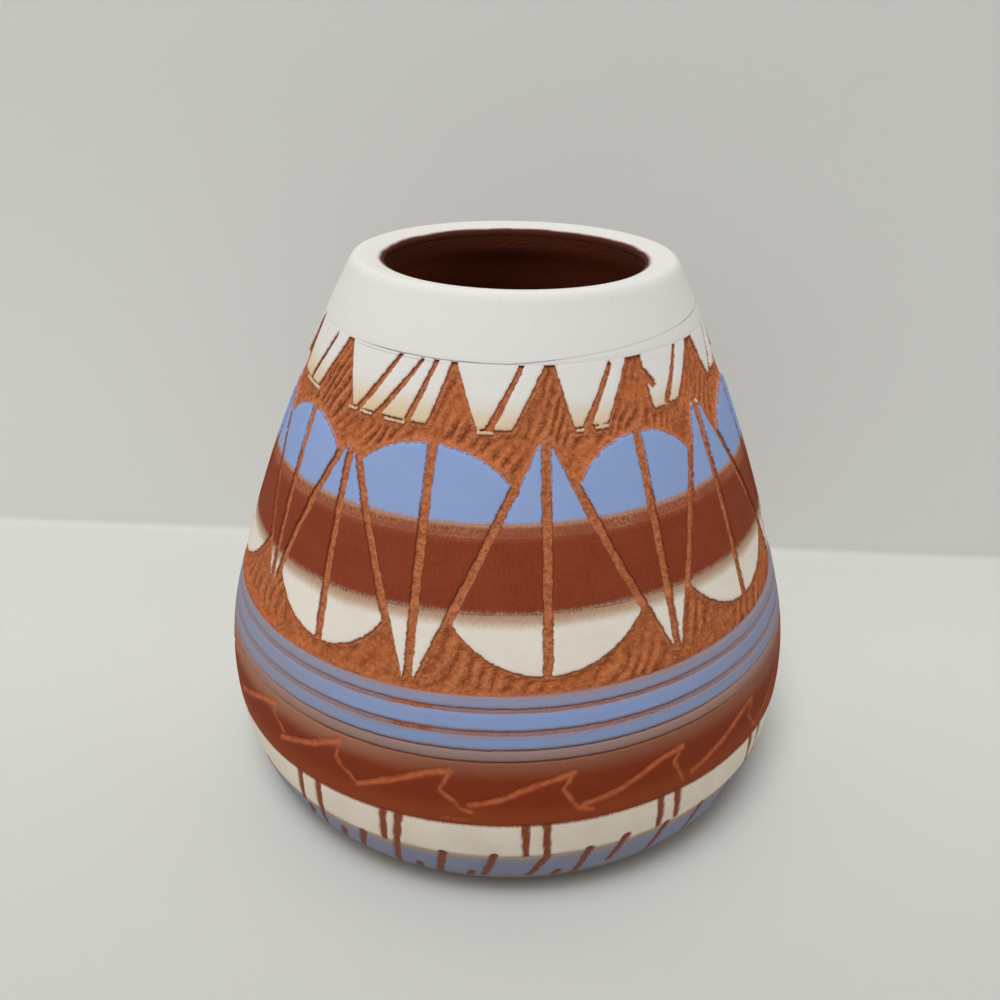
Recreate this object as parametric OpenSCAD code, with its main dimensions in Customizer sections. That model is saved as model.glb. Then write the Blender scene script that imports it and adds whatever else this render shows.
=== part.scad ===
// Round pottery vase: a hollow red clay vessel under coats of coloured slip,
// with a pattern of teeth, cones and stripes carved through the slip to the clay.
// The base stands on z = 0, and the front of the pattern faces -Y.

/* [Vessel] */
// Widest diameter, over the slip
body_d = 102; // [94:1:120]
// Height of the widest place
belly_h = 22.3; // [19:0.1:27]
// Height of the lip's crown
body_h = 93; // [90:0.5:106]
// Outer diameter at the lip's edge
lip_d = 53.4; // [48:0.2:60]
// Depth of the lip's edge below its crown
lip_edge = 1.6; // [1:0.1:2.4]
// Radius of the slow curve of the upper wall
wall_round = 287; // [180:1:500]
// Radius of the shoulder above the widest place
shoulder_round = 49.7; // [44:0.1:58]
// Radius of the body below the widest place
lower_round = 43; // [34:0.5:56]
// Radius of the foot's edge
foot_round = 12; // [10:0.5:16]
// Thickness of the clay and slip together
wall = 5.2; // [4:0.1:7]
// Thickness of the floor
floor_t = 6; // [5:0.1:9]

/* [Slip] */
// Thickness of a slip coat, which is the depth of the carving
slip_t = 0.6; // [0.4:0.05:1]
// Height of the bare clay left below the foot's slip
bare_foot_h = 3.4; // [2:0.1:5]

/* [Bands] */
// Height of the cream collar, down from the lip's crown
collar_w = 8.7; // [7:0.1:10]
// Width of the pencil line below the collar
pencil_w = 0.3; // [0.2:0.1:0.6]
// Height of the fringe below the line
fringe_w = 8.2; // [6.5:0.1:10]
// Height of the bare clay between the fringe and the cones' tips
fringe_gap = 1.3; // [0.6:0.1:2]
// Share of the cones' height that is blue, from their tips down
blue_share = 0.32; // [0.25:0.01:0.4]
// Share of the cones' height that is red, below the blue
red_share = 0.36; // [0.25:0.01:0.42]
// Height of the bare clay between the cones' feet and the stripes
cone_gap = 0.9; // [0.5:0.1:1.5]
// Height of the upper blue stripe
upper_stripe_w = 1.5; // [1:0.1:2]
// Height of the middle blue stripe
middle_stripe_w = 2.4; // [1.8:0.1:3]
// Height of the lower blue stripe
lower_stripe_w = 2; // [1.4:0.1:2.6]
// Height of the grey stripe
grey_stripe_w = 1.6; // [1:0.1:2]
// Width of the two broad lines between the stripes
broad_line_w = 0.9; // [0.5:0.1:1.2]
// Width of the two fine lines beside the grey stripe
fine_line_w = 0.25; // [0.2:0.05:0.5]
// Height of the wave band
wave_band_w = 11.3; // [10:0.1:13]
// Height of the bar band
bar_band_w = 7.7; // [6:0.1:9]
// Height of the foot band
foot_band_w = 8.9; // [7:0.1:10]

/* [Fringe] */
// Angle from a tooth's apex to its left foot
tooth_left = 8; // [6:0.5:9]
// Angle from a tooth's apex to its right foot
tooth_right = 5.5; // [4:0.5:7]
// Width of the strokes through the panels
stroke_w = 1; // [0.7:0.1:1.4]
// Angle from a tooth's apex to its stroke's top end
stroke_top = 16.5; // [15:0.5:18]
// Angle from a tooth's apex to its stroke's lower end
stroke_foot = 8.5; // [7.5:0.5:10]

/* [Cones] */
// Width of the lines between and down the cones
groove_w = 1.4; // [0.8:0.1:2]
// Drop from the cones' tips to the domes' tops
dome_drop = 0.5; // [0.2:0.1:2]
// Radius of the domes
dome_round = 13; // [11:0.5:16]
// Rise from the drops' points to the bowls' lowest points
bowl_rise = 2; // [1.4:0.1:4]
// Radius of the bowls
bowl_round = 16.5; // [15:0.5:20]
// Angle from a cone's middle line to its side line, at the top
cone_tip = 2.8; // [2.6:0.1:4]
// Angle from a drop's middle line to its side line, at the foot
drop_tip = 2.2; // [2:0.1:3]

/* [Wave] */
// Number of waves
wave_count = 18; // [14:1:22]
// Angle from the front to the first trough
wave_start = -5; // [-10:0.5:10]
// Height of a wave
wave_h = 6.2; // [5:0.1:7.5]
// Height of the troughs above the band's lower edge
trough_rise = 2.6; // [1.6:0.1:3.2]
// Share of a wave's length that rises
crest_share = 0.84; // [0.6:0.02:0.9]
// Width of the scratched line
wave_w = 1.2; // [0.8:0.1:1.6]

/* [Bars and dashes] */
// Number of bar pairs
bar_pairs = 15; // [12:1:18]
// Angle from the front to the middle of the first pair
bar_start = 6; // [-10:0.5:10]
// Angle between the two bars of a pair
bar_gap = 3.8; // [3:0.1:6]
// Width of a bar
bar_w = 1.4; // [0.8:0.1:2]
// Number of dashes on the foot
dash_count = 38; // [30:1:44]
// Angle from the front to the first dash
dash_start = -1.5; // [-5:0.5:5]
// Width of a dash
dash_w = 1.4; // [0.8:0.1:2]
// Angle by which a dash leans over its height
dash_lean = 2; // [0:0.5:5]
// Height of the dashes' lower ends above the bare clay
dash_end = 1.6; // [1:0.1:3]

/* [Hidden] */
$fn = 96;

// The hand-laid places of the pattern, in degrees from the front, to the right
cone_at = [8, 53, 98, 143, 188, 233, 278, 322];
drop_at = [31, 76, 121, 166, 211, 256, 302, 343];
tooth_at = [10, 34, 59, 84, 109, 134, 159, 184, 209, 234, 259, 284, 310, 345];
// A panel wider than this angle carries three strokes, this far from one to the next
wide_panel = 30;
wide_step = [5.5, 5.5];

// How far a cut reaches beyond the surfaces that it opens
reach = 1;
// How far the straight runs of the outline may lie from its true curve
curve_tol = 0.02;
clay = "#b4693f";
cream = "#e3dccd";
blue = "#8ea6d6";
red = "#82381f";
grey = "#8d7a78";

// Point where two circles meet, on the right of the line from the first centre to the second
function meet(c1, r1, c2, r2) =
    let (d = norm(c2 - c1),
         u = (c2 - c1) / d,
         a = (d * d + r1 * r1 - r2 * r2) / (2 * d),
         h = sqrt(r1 * r1 - a * a))
    c1 + a * u + h * [u[1], -u[0]];

// Centres of the outline's arcs, each in turn tangent to the last
body_r = body_d / 2;
lip_point = [lip_d / 2, body_h - lip_edge];
shoulder_c = [body_r - shoulder_round, belly_h];
lower_c = [body_r - lower_round, belly_h];
foot_c = [lower_c[0] + sqrt(pow(lower_round - foot_round, 2) - pow(belly_h - foot_round, 2)), foot_round];
wall_c = meet(lip_point, wall_round, shoulder_c, wall_round - shoulder_round);

// Angles through which the shoulder and the lower body turn from the upright
shoulder_turn = atan2(shoulder_c[1] - wall_c[1], shoulder_c[0] - wall_c[0]);
foot_turn = atan2(belly_h - foot_round, foot_c[0] - lower_c[0]);

// The lip's crown is an arc over the wall's thickness
lip_across = wall * wall_round / (lip_point[0] - wall_c[0]);
lip_round = (pow(lip_across / 2, 2) + pow(lip_edge, 2)) / (2 * lip_edge);
lip_c = [lip_point[0] - lip_across / 2, body_h - lip_round];

// Angles, about the arcs' centres, at which the wall passes into the crown at a depth under the surface
function lip_meet(depth) = meet(lip_c, lip_round - depth, wall_c, wall_round - depth);
function turn_to(c, point) = atan2(point[1] - c[1], point[0] - c[0]);

// Points along an arc, close enough together to stay within curve_tol of it
function arc(c, r, from, to) =
    let (steps = ceil(abs(to - from) / (2 * acos(1 - curve_tol / r))))
    [for (i = [1 : steps]) let (a = from + (to - from) * i / steps) c + r * [cos(a), sin(a)]];

// Outline from the base's edge up to the end of the wall, at a depth under the surface
function outline(depth, wall_end) =
    concat([foot_c - [0, foot_round - depth]],
           arc(foot_c, foot_round - depth, -90, -foot_turn),
           arc(lower_c, lower_round - depth, -foot_turn, 0),
           arc(shoulder_c, shoulder_round - depth, 0, shoulder_turn),
           arc(wall_c, wall_round - depth, shoulder_turn, wall_end));

// Radius of an arc at a height, and of the vase's outside
function arc_r(c, r, h) = c[0] + sqrt(r * r - pow(h - c[1], 2));
function outer_r(h) =
    h < belly_h - lower_round * sin(foot_turn) ? arc_r(foot_c, foot_round, h)
    : h < belly_h ? arc_r(lower_c, lower_round, h)
    : h < belly_h + shoulder_round * sin(shoulder_turn) ? arc_r(shoulder_c, shoulder_round, h)
    : arc_r(wall_c, wall_round, h);

// Radius safely inside the slip's shell between two heights
function shell_r(low, high) = min(outer_r(low), outer_r(high)) - 2 * slip_t - reach;

// Heights of the lower bands' edges, from the bare foot up
bar_foot_h = bare_foot_h + foot_band_w;
wave_foot_h = bar_foot_h + bar_band_w;
wave_top_h = wave_foot_h + wave_band_w;
grey_stripe_h = wave_top_h + fine_line_w;
grey_top_h = grey_stripe_h + grey_stripe_w;
lower_stripe_h = grey_top_h + fine_line_w;
lower_top_h = lower_stripe_h + lower_stripe_w;
middle_stripe_h = lower_top_h + broad_line_w;
middle_top_h = middle_stripe_h + middle_stripe_w;
upper_stripe_h = middle_top_h + broad_line_w;
stripe_top_h = upper_stripe_h + upper_stripe_w;

// Heights of the upper bands' edges, from the lip's crown down
collar_h = body_h - collar_w;
fringe_top_h = collar_h - pencil_w;
fringe_h = fringe_top_h - fringe_w;

// The cones stand between the stripes and the fringe
cone_foot_h = stripe_top_h + cone_gap;
cone_top_h = fringe_h - fringe_gap;
cone_h = cone_top_h - cone_foot_h;
blue_red_h = cone_top_h - blue_share * cone_h;
red_cream_h = blue_red_h - red_share * cone_h;
dome_h = cone_top_h - dome_drop;
bowl_h = cone_foot_h + bowl_rise;

// Heights of the scratched wave and of the dashes
trough_h = wave_foot_h + trough_rise;
crest_h = trough_h + wave_h;
dash_foot_h = bare_foot_h + dash_end;

// Flat strip of the half section between two heights
module strip(low, high) {
    translate([0, low]) square([body_d, high - low]);
}

// Half section of the whole vase at a depth under its surface, with the lip's crown
module section(depth) {
    edge = turn_to(lip_c, lip_meet(depth));
    crown = arc(lip_c, lip_round - depth, edge, 180 - edge);
    wall_end = turn_to(wall_c, lip_meet(depth));
    polygon(concat([[0, depth]], outline(depth, wall_end), crown, [[0, crown[len(crown) - 1][1]]]));
}

// Half section of the hollow, carried up past the lip
module hollow_section() {
    top_h = body_h + reach;
    wall_end = asin((top_h - wall_c[1]) / (wall_round - wall));
    intersection() {
        polygon(concat([[0, wall]], outline(wall, wall_end), [[0, top_h]]));
        strip(floor_t, top_h);
    }
}

// Ring of slip between two heights
module slip_ring(low, high) {
    rotate_extrude() intersection() {
        difference() {
            section(0);
            section(slip_t);
            hollow_section();
        }
        strip(low, high);
    }
}

// Solid that carries a flat figure straight out from the axis, at an angle from the front
module carried_out(at, from_r) {
    rotate([0, 0, at]) translate([0, -from_r, 0]) rotate([90, 0, 0])
        linear_extrude(height = body_r - from_r + reach) children();
}

// Place in such a figure of a point of the surface
function on_figure(turn, h) = [outer_r(h) * sin(turn), h];

// Line carved from one point of the surface down to another, each an angle and a height
module carved_line(top_at, top_h, foot_at, foot_h, w) {
    middle = (top_at + foot_at) / 2;
    top = on_figure(top_at - middle, top_h);
    foot = on_figure(foot_at - middle, foot_h);
    across = [w / 2, 0];
    carried_out(middle, shell_r(foot_h, top_h))
        polygon([top - across, top + across, foot + across, foot - across]);
}

// Outline of the island between two lines, each the angles of its top and its foot,
// seen from the angle at and drawn in by half a line's width on both sides
module island(left, right, at, top_h, foot_h, w) {
    across = [w / 2, 0];
    polygon([on_figure(left[0] - at, top_h) + across, on_figure(right[0] - at, top_h) - across,
             on_figure(right[1] - at, foot_h) - across, on_figure(left[1] - at, foot_h) + across]);
}

// Panels of the fringe, between the sides of the teeth and the strokes
module fringe_islands() {
    count = len(tooth_at);
    for (i = [0 : count - 1]) {
        at = tooth_at[i];
        next = i == count - 1 ? tooth_at[0] + 360 : tooth_at[i + 1];
        wide = next - at > wide_panel;
        first = [at + stroke_top, at + stroke_foot];
        strokes = wide ? [for (k = [0 : 2]) first + k * wide_step] : [first];
        lines = concat([[at, at + tooth_right]], strokes, [[next, next - tooth_left]]);
        for (k = [0 : len(lines) - 2]) {
            middle = (lines[k][1] + lines[k + 1][1]) / 2;
            carried_out(middle, shell_r(fringe_h, fringe_top_h))
                island(lines[k], lines[k + 1], middle, fringe_top_h, fringe_h, stroke_w);
        }
    }
}

// Halves of the cones, pointed above and round below
module cone_islands() {
    count = len(cone_at);
    for (i = [0 : count - 1]) {
        at = cone_at[i];
        last_drop = i == 0 ? drop_at[count - 1] - 360 : drop_at[i - 1];
        lines = [[at - cone_tip, last_drop + drop_tip], [at, at], [at + cone_tip, drop_at[i] - drop_tip]];
        for (k = [0, 1]) {
            carried_out(at, shell_r(cone_foot_h, cone_top_h)) intersection() {
                island(lines[k], lines[k + 1], at, cone_top_h, cone_foot_h, groove_w);
                translate([0, bowl_h + bowl_round]) circle(r = bowl_round);
            }
        }
    }
}

// Halves of the drops, round above and pointed below
module drop_islands() {
    count = len(drop_at);
    for (i = [0 : count - 1]) {
        at = drop_at[i];
        next_cone = i == count - 1 ? cone_at[0] + 360 : cone_at[i + 1];
        lines = [[cone_at[i] + cone_tip, at - drop_tip], [at, at], [next_cone - cone_tip, at + drop_tip]];
        for (k = [0, 1]) {
            carried_out(at, shell_r(cone_foot_h, cone_top_h)) intersection() {
                island(lines[k], lines[k + 1], at, cone_top_h, cone_foot_h, groove_w);
                union() {
                    translate([0, dome_h - dome_round]) circle(r = dome_round);
                    translate([-dome_round, cone_foot_h])
                        square([2 * dome_round, dome_h - dome_round - cone_foot_h]);
                }
            }
        }
    }
}

// Slip left standing on the cones and drops between two heights
module panels(low, high) {
    intersection() {
        slip_ring(low, high);
        union() {
            cone_islands();
            drop_islands();
        }
    }
}

// Ticks scratched round the wave band: a long rise to each crest, then a short steep fall
module wave_ticks() {
    step = 360 / wave_count;
    half = [0, wave_w / 2];
    for (i = [0 : wave_count - 1]) {
        foot = on_figure(-step / 2, trough_h);
        crest = on_figure(step * (crest_share - 0.5), crest_h);
        end = on_figure(step / 2, trough_h) - [wave_w, 0];
        carried_out(wave_start + (i + 0.5) * step, shell_r(trough_h, crest_h))
            polygon([foot + half, crest + half, end + half + [wave_w / 2, 0], end - half,
                     end - [wave_w / 2, 0], crest - half - [wave_w, 0] / 4, foot - half]);
    }
}

// Pairs of upright bars through the bar band
module bar_lines() {
    for (i = [0 : bar_pairs - 1], side = [-0.5, 0.5]) {
        at = bar_start + i * 360 / bar_pairs + side * bar_gap;
        carved_line(at, wave_foot_h + reach, at, bar_foot_h - reach, bar_w);
    }
}

// Slanting dashes down the foot band
module foot_dashes() {
    for (i = [0 : dash_count - 1]) {
        at = dash_start + i * 360 / dash_count;
        carved_line(at, bar_foot_h + reach, at - dash_lean, dash_foot_h, dash_w);
    }
}

module clay_body() {
    color(clay) rotate_extrude() difference() {
        union() {
            section(slip_t);
            intersection() {
                section(0);
                strip(0, bare_foot_h);
            }
        }
        hollow_section();
    }
}

module cream_collar() {
    color(cream) slip_ring(collar_h, body_h);
}

module fringe_panels() {
    color(cream) intersection() {
        slip_ring(fringe_h, fringe_top_h);
        fringe_islands();
    }
}

module blue_panels() {
    color(blue) panels(blue_red_h, cone_top_h);
}

module red_panels() {
    color(red) panels(red_cream_h, blue_red_h);
}

module cream_panels() {
    color(cream) panels(cone_foot_h, red_cream_h);
}

module upper_blue_stripe() {
    color(blue) slip_ring(upper_stripe_h, stripe_top_h);
}

module middle_blue_stripe() {
    color(blue) slip_ring(middle_stripe_h, middle_top_h);
}

module lower_blue_stripe() {
    color(blue) slip_ring(lower_stripe_h, lower_top_h);
}

module grey_stripe() {
    color(grey) slip_ring(grey_stripe_h, grey_top_h);
}

module wave_band() {
    color(red) difference() {
        slip_ring(wave_foot_h, wave_top_h);
        wave_ticks();
    }
}

module bar_band() {
    color(cream) difference() {
        slip_ring(bar_foot_h, wave_foot_h);
        bar_lines();
    }
}

module foot_band() {
    color(blue) difference() {
        slip_ring(bare_foot_h, bar_foot_h);
        foot_dashes();
    }
}

clay_body();
cream_collar();
fringe_panels();
blue_panels();
red_panels();
cream_panels();
upper_blue_stripe();
middle_blue_stripe();
lower_blue_stripe();
grey_stripe();
wave_band();
bar_band();
foot_band();
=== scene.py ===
import math

import bpy
import numpy as np
from mathutils import Matrix, Vector


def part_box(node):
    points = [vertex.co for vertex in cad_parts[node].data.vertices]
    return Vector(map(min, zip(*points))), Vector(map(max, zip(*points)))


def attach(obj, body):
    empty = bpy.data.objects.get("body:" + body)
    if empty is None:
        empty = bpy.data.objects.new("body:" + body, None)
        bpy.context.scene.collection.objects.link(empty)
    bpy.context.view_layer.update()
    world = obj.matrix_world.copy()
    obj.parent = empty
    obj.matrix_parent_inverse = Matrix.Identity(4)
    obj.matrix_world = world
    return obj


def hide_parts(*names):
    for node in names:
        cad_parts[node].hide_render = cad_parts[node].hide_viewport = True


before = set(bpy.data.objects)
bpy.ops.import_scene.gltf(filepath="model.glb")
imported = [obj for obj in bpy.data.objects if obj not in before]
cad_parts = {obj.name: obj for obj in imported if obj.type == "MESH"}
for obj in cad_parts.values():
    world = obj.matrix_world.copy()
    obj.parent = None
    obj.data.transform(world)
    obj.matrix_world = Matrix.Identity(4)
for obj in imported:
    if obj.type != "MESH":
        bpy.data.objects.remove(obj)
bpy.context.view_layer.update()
print("frame:", len(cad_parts), "solids")

mm = 0.001

# Outline of the vase over its slip, in mm: four arcs, each tangent to the next
outline = {
    "bellyRadius": 51.0,
    "bellyHeight": 22.3,
    "lipRadius": 26.7,
    "lipHeight": 91.4,
    "wallRound": 287.0,
    "shoulderRound": 49.7,
    "lowerRound": 43.0,
    "footRound": 12.0,
    "wall": 5.2,
    "floor": 6.0,
    "slip": 0.6,
    "lean": 0.026,       # the turned rings rise this much per mm towards +X
    "leanTop": 84.0,     # height where they are level again
    "leanFade": 18.0,    # mm below it over which the lean fades out
}


def circlesMeet(first, firstRound, second, secondRound):
    # where two circles cross, right of the line from the first centre to the second
    reach = second - first
    span = math.hypot(*reach)
    along = (span ** 2 + firstRound ** 2 - secondRound ** 2) / (2 * span)
    aside = math.sqrt(firstRound ** 2 - along ** 2)
    ahead = reach / span
    return first + along * ahead + aside * np.array([ahead[1], -ahead[0]])


def vaseArcs(o):
    # centres (radius, height) and rounds of the foot, lower, shoulder and wall arcs, and the heights between
    belly = o["bellyHeight"]
    lower = np.array([o["bellyRadius"] - o["lowerRound"], belly])
    shoulder = np.array([o["bellyRadius"] - o["shoulderRound"], belly])
    drop = belly - o["footRound"]
    aside = math.sqrt((o["lowerRound"] - o["footRound"]) ** 2 - drop ** 2)
    foot = np.array([lower[0] + aside, o["footRound"]])
    lip = np.array([o["lipRadius"], o["lipHeight"]])
    wall = circlesMeet(lip, o["wallRound"], shoulder, o["wallRound"] - o["shoulderRound"])
    rounds = np.array([o["footRound"], o["lowerRound"], o["shoulderRound"], o["wallRound"]])
    footTurn = math.atan2(drop, foot[0] - lower[0])
    wallTurn = math.atan2(shoulder[1] - wall[1], shoulder[0] - wall[0])
    joins = [belly - o["lowerRound"] * math.sin(footTurn), belly,
             belly + o["shoulderRound"] * math.sin(wallTurn)]
    return np.array([foot, lower, shoulder, wall]), rounds, np.array(joins)


arcCentres, arcRounds, arcJoins = vaseArcs(outline)


def vaseRadius(height, depth=0.0):
    # radius of the outline's arc at a height, at a depth under the surface
    which = np.searchsorted(arcJoins, height, side="right")
    reach = arcRounds[which] - depth
    return arcCentres[which, 0] + np.sqrt(np.maximum(reach ** 2 - (height - arcCentres[which, 1]) ** 2, 0))


def radiusAt(height, depth=0.0):
    return float(vaseRadius(np.array(height), depth))


def onVase(turn, height, depth=0.0):
    # the arc's point at a height, moved in along the arc's own radius by depth, then turned about the axis
    which = np.searchsorted(arcJoins, height, side="right")
    rise = (height - arcCentres[which, 1]) / arcRounds[which]
    reach = arcRounds[which] - depth
    radius = arcCentres[which, 0] + reach * np.sqrt(np.maximum(1 - rise ** 2, 0))
    angle = np.radians(turn)
    tall = arcCentres[which, 1] + reach * rise
    return np.stack([radius * np.sin(angle), -radius * np.cos(angle), tall], -1) * mm


def evenTurns(cols):
    # degrees from the front, once round the vase
    return np.arange(cols) * 360.0 / cols - 180.0


def stepsRound(low, high, step):
    # how many steps go round the vase midway between two heights
    return int(round(2 * math.pi * radiusAt((low + high) / 2) / step))


def wrapTurn(turn):
    return (turn + 180.0) % 360.0 - 180.0


def ease(value, start, end):
    # 0 before start, 1 after end, and a smooth S between them
    share = np.clip((value - start) / (end - start), 0, 1)
    return share * share * (3 - 2 * share)


def ringNoise(turn, height, around, rise, seed):
    # value noise from -1 to 1: a lattice of cells round the vase and up it, eased between its corners
    rows = 256
    lattice = np.random.default_rng(seed).uniform(-1, 1, (around, rows))
    a = (turn % 360.0) / 360.0 * around
    h = height / rise
    i, j = np.floor(a).astype(int), np.floor(h).astype(int)
    fa, fh = a - i, h - j
    fa, fh = fa * fa * (3 - 2 * fa), fh * fh * (3 - 2 * fh)
    i0, i1, j0, j1 = i % around, (i + 1) % around, j % rows, (j + 1) % rows
    low = lattice[i0, j0] * (1 - fa) + lattice[i1, j0] * fa
    high = lattice[i0, j1] * (1 - fa) + lattice[i1, j1] * fa
    return low * (1 - fh) + high * fh


def ringLean(turn, height):
    # how far a turned ring is off level: a tilted plane, which fades out towards the neck
    fade = np.clip((outline["leanTop"] - height) / outline["leanFade"], 0, 1)
    return outline["lean"] * fade * vaseRadius(height) * np.sin(np.radians(turn))


def uneven(turn, height, seed):
    # mm that the slip's surface dips here and there
    return 0.012 * (1 + ringNoise(turn, height, 400, 0.7, seed))


def solidSpan(node):
    low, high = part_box(node)
    return low.z / mm, high.z / mm


def makePiece(name, points, faceGroups, marks):
    # a mesh from arrays of points and of (faces, smooth), and one number per point for each mark
    mesh = bpy.data.meshes.new(name)
    faceGroups = [(f, s) for f, s in faceGroups if len(f)]
    corners = np.concatenate([f.ravel() for f, s in faceGroups]).astype(np.int32)
    sizes = np.concatenate([np.full(len(f), f.shape[1]) for f, s in faceGroups])
    starts = np.concatenate([[0], np.cumsum(sizes)[:-1]]).astype(np.int32)
    smooth = np.concatenate([np.full(len(f), s) for f, s in faceGroups])
    mesh.vertices.add(len(points))
    mesh.loops.add(len(corners))
    mesh.polygons.add(len(sizes))
    mesh.vertices.foreach_set("co", points.astype(np.float32).ravel())
    mesh.loops.foreach_set("vertex_index", corners)
    mesh.polygons.foreach_set("loop_start", starts)
    mesh.polygons.foreach_set("use_smooth", smooth)
    mesh.update(calc_edges=True)
    for mark, values in marks.items():
        mesh.attributes.new(mark, "FLOAT", "POINT").data.foreach_set("value", values.astype(np.float32).ravel())
    piece = bpy.data.objects.new(name, mesh)
    bpy.context.scene.collection.objects.link(piece)
    print("piece:", name, int((sizes - 2).sum()), "triangles")
    return piece


def ringQuads(rows, cols):
    # quads by row: each ring of points is joined to the next, and the last one to the first
    grid = np.arange(rows * cols).reshape(rows, cols)
    after = np.roll(grid, -1, 1)
    return np.stack([grid, after, np.roll(after, -1, 0), np.roll(grid, -1, 0)], -1)


def closedRings(name, points, smoothRows, marks):
    # a closed piece from rings of points, smooth on its first rows of quads and flat on its back
    quads = ringQuads(*points.shape[:2])
    faceGroups = [(quads[:smoothRows].reshape(-1, 4), True), (quads[smoothRows:].reshape(-1, 4), False)]
    return makePiece(name, points.reshape(-1, 3), faceGroups, marks)


def turnRings(rings, turns):
    # a profile of (radius, height) points turned about the axis
    angle = np.radians(turns)
    tall = np.broadcast_to(rings[:, 1:], (len(rings), len(turns)))
    return np.stack([rings[:, :1] * np.sin(angle), -rings[:, :1] * np.cos(angle), tall], -1)


# mm from an edge up to which its mark counts, over which a tucked edge sinks, and over which a band's is worn
gapKept, tuckWidth, bandWear = 3.0, 0.2, 0.16


def cutShell(name, cut, low, high, cutField):
    # a skin of slip cut to an outline: the field is sampled on a grid over the vase, its zero line is traced
    # through the grid's cells, and the skin is closed by walls down into the clay
    cols = stepsRound(low, high, cut["step"])
    rows = int(math.ceil((high - low) / cut["step"]))
    heights = np.linspace(low, high, rows + 1)
    turn, height = np.meshgrid(evenTurns(cols), heights)
    figure, level, spread = cutField(turn, height)
    field = np.minimum(figure, level)
    field[[0, -1]] = np.minimum(field[[0, -1]], -0.01)    # nothing is left on the first and last rows
    inside = field > 0
    after = lambda a: np.roll(a, -1, 1)
    sideCross = inside != after(inside)
    upCross = inside[:-1] != inside[1:]
    # points: grid corners inside the cut, then crossings along the rows, then crossings up the columns
    kinds = [np.nonzero(inside), np.nonzero(sideCross), np.nonzero(upCross)]
    ids, count = [], 0
    for kind, where in zip((inside, sideCross, upCross), kinds):
        numbers = np.full(kind.shape, -1)
        numbers[where] = np.arange(count, count + len(where[0]))
        count += len(where[0])
        ids.append(numbers)
    least, most = 0.06, 0.94    # a crossing stays this share clear of the grid's corners
    sideShare = np.clip(field / np.where(sideCross, field - after(field), 1), least, most)[kinds[1]]
    upShare = np.clip(field[:-1] / np.where(upCross, field[:-1] - field[1:], 1), least, most)[kinds[2]]

    def sample(values):
        side = values[kinds[1]] * (1 - sideShare) + after(values)[kinds[1]] * sideShare
        up = values[:-1][kinds[2]] * (1 - upShare) + values[1:][kinds[2]] * upShare
        return np.concatenate([values[kinds[0]], side, up])

    pointTurn = np.concatenate([turn[kinds[0]], turn[kinds[1]] + sideShare * 360.0 / cols, turn[:-1][kinds[2]]])
    tall = heights[1] - heights[0]
    pointHeight = np.concatenate([height[kinds[0]], height[kinds[1]], height[:-1][kinds[2]] + upShare * tall])
    rim = np.arange(count) >= len(kinds[0][0])
    # each cell's corners and crossings in order round it, and the faces they make
    corner, side, up = ids
    ring = np.stack([corner[:-1], side[:-1], after(corner)[:-1], after(up),
                     after(corner)[1:], side[1:], corner[1:], up], -1).reshape(-1, 8)
    present = ring >= 0
    sizes = present.sum(1)
    tops = [ring[sizes == k][present[sizes == k]].reshape(-1, k) for k in (3, 4, 5, 6)]
    # the cut's rim: from a crossing whose next corner is outside to the next crossing round the cell
    walls = []
    for slot in (1, 3, 5, 7):
        starts = present[:, slot] & ~present[:, (slot + 1) % 8]
        for hop in (2, 4, 6):
            ends = starts & present[:, (slot + hop) % 8]
            walls.append(np.stack([ring[ends, slot], ring[ends, (slot + hop) % 8]], 1))
            starts = starts & ~ends
    walls = np.concatenate(walls)
    walls = np.stack([walls[:, 1], walls[:, 0], walls[:, 0] + count, walls[:, 1] + count], 1)
    # the skin's top, worn down at its edge, and its foot in the clay, spread outwards along the field's fall
    gap = np.maximum(sample(figure), 0)
    depth = cut["worn"] * np.exp(-gap / cut["wornWidth"]) + uneven(pointTurn, pointHeight, 5)
    depth = depth + cut["tuck"] * np.exp(-np.maximum(sample(level), 0) / tuckWidth)
    fallUp = np.gradient(figure, tall, axis=0)
    fallSide = (after(figure) - np.roll(figure, 1, 1)) / 2
    perDegree = math.radians(1.0) * vaseRadius(pointHeight)
    sideways, upwards = sample(fallSide) / (360.0 / cols * perDegree), sample(fallUp)
    steep = np.maximum(np.hypot(sideways, upwards), 1e-6)
    shift = np.where(rim & (sample(figure) <= sample(level) + 0.02), sample(spread), 0)
    footTurn = pointTurn - shift * sideways / steep / perDegree
    footHeight = pointHeight - shift * upwards / steep
    points = np.concatenate([onVase(pointTurn, pointHeight, depth), onVase(footTurn, footHeight, cut["foot"])])
    marks = {
        "wallShare": np.concatenate([np.zeros(count), np.ones(count)]),
        "edgeGap": np.concatenate([np.minimum(gap, gapKept), np.zeros(count)]),
        "bevel": np.tile(sample(spread), 2),
    }
    feet = [f[:, ::-1] + count for f in tops]
    return makePiece(name, points, [(f, True) for f in tops + feet] + [(walls, False)], marks)


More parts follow.
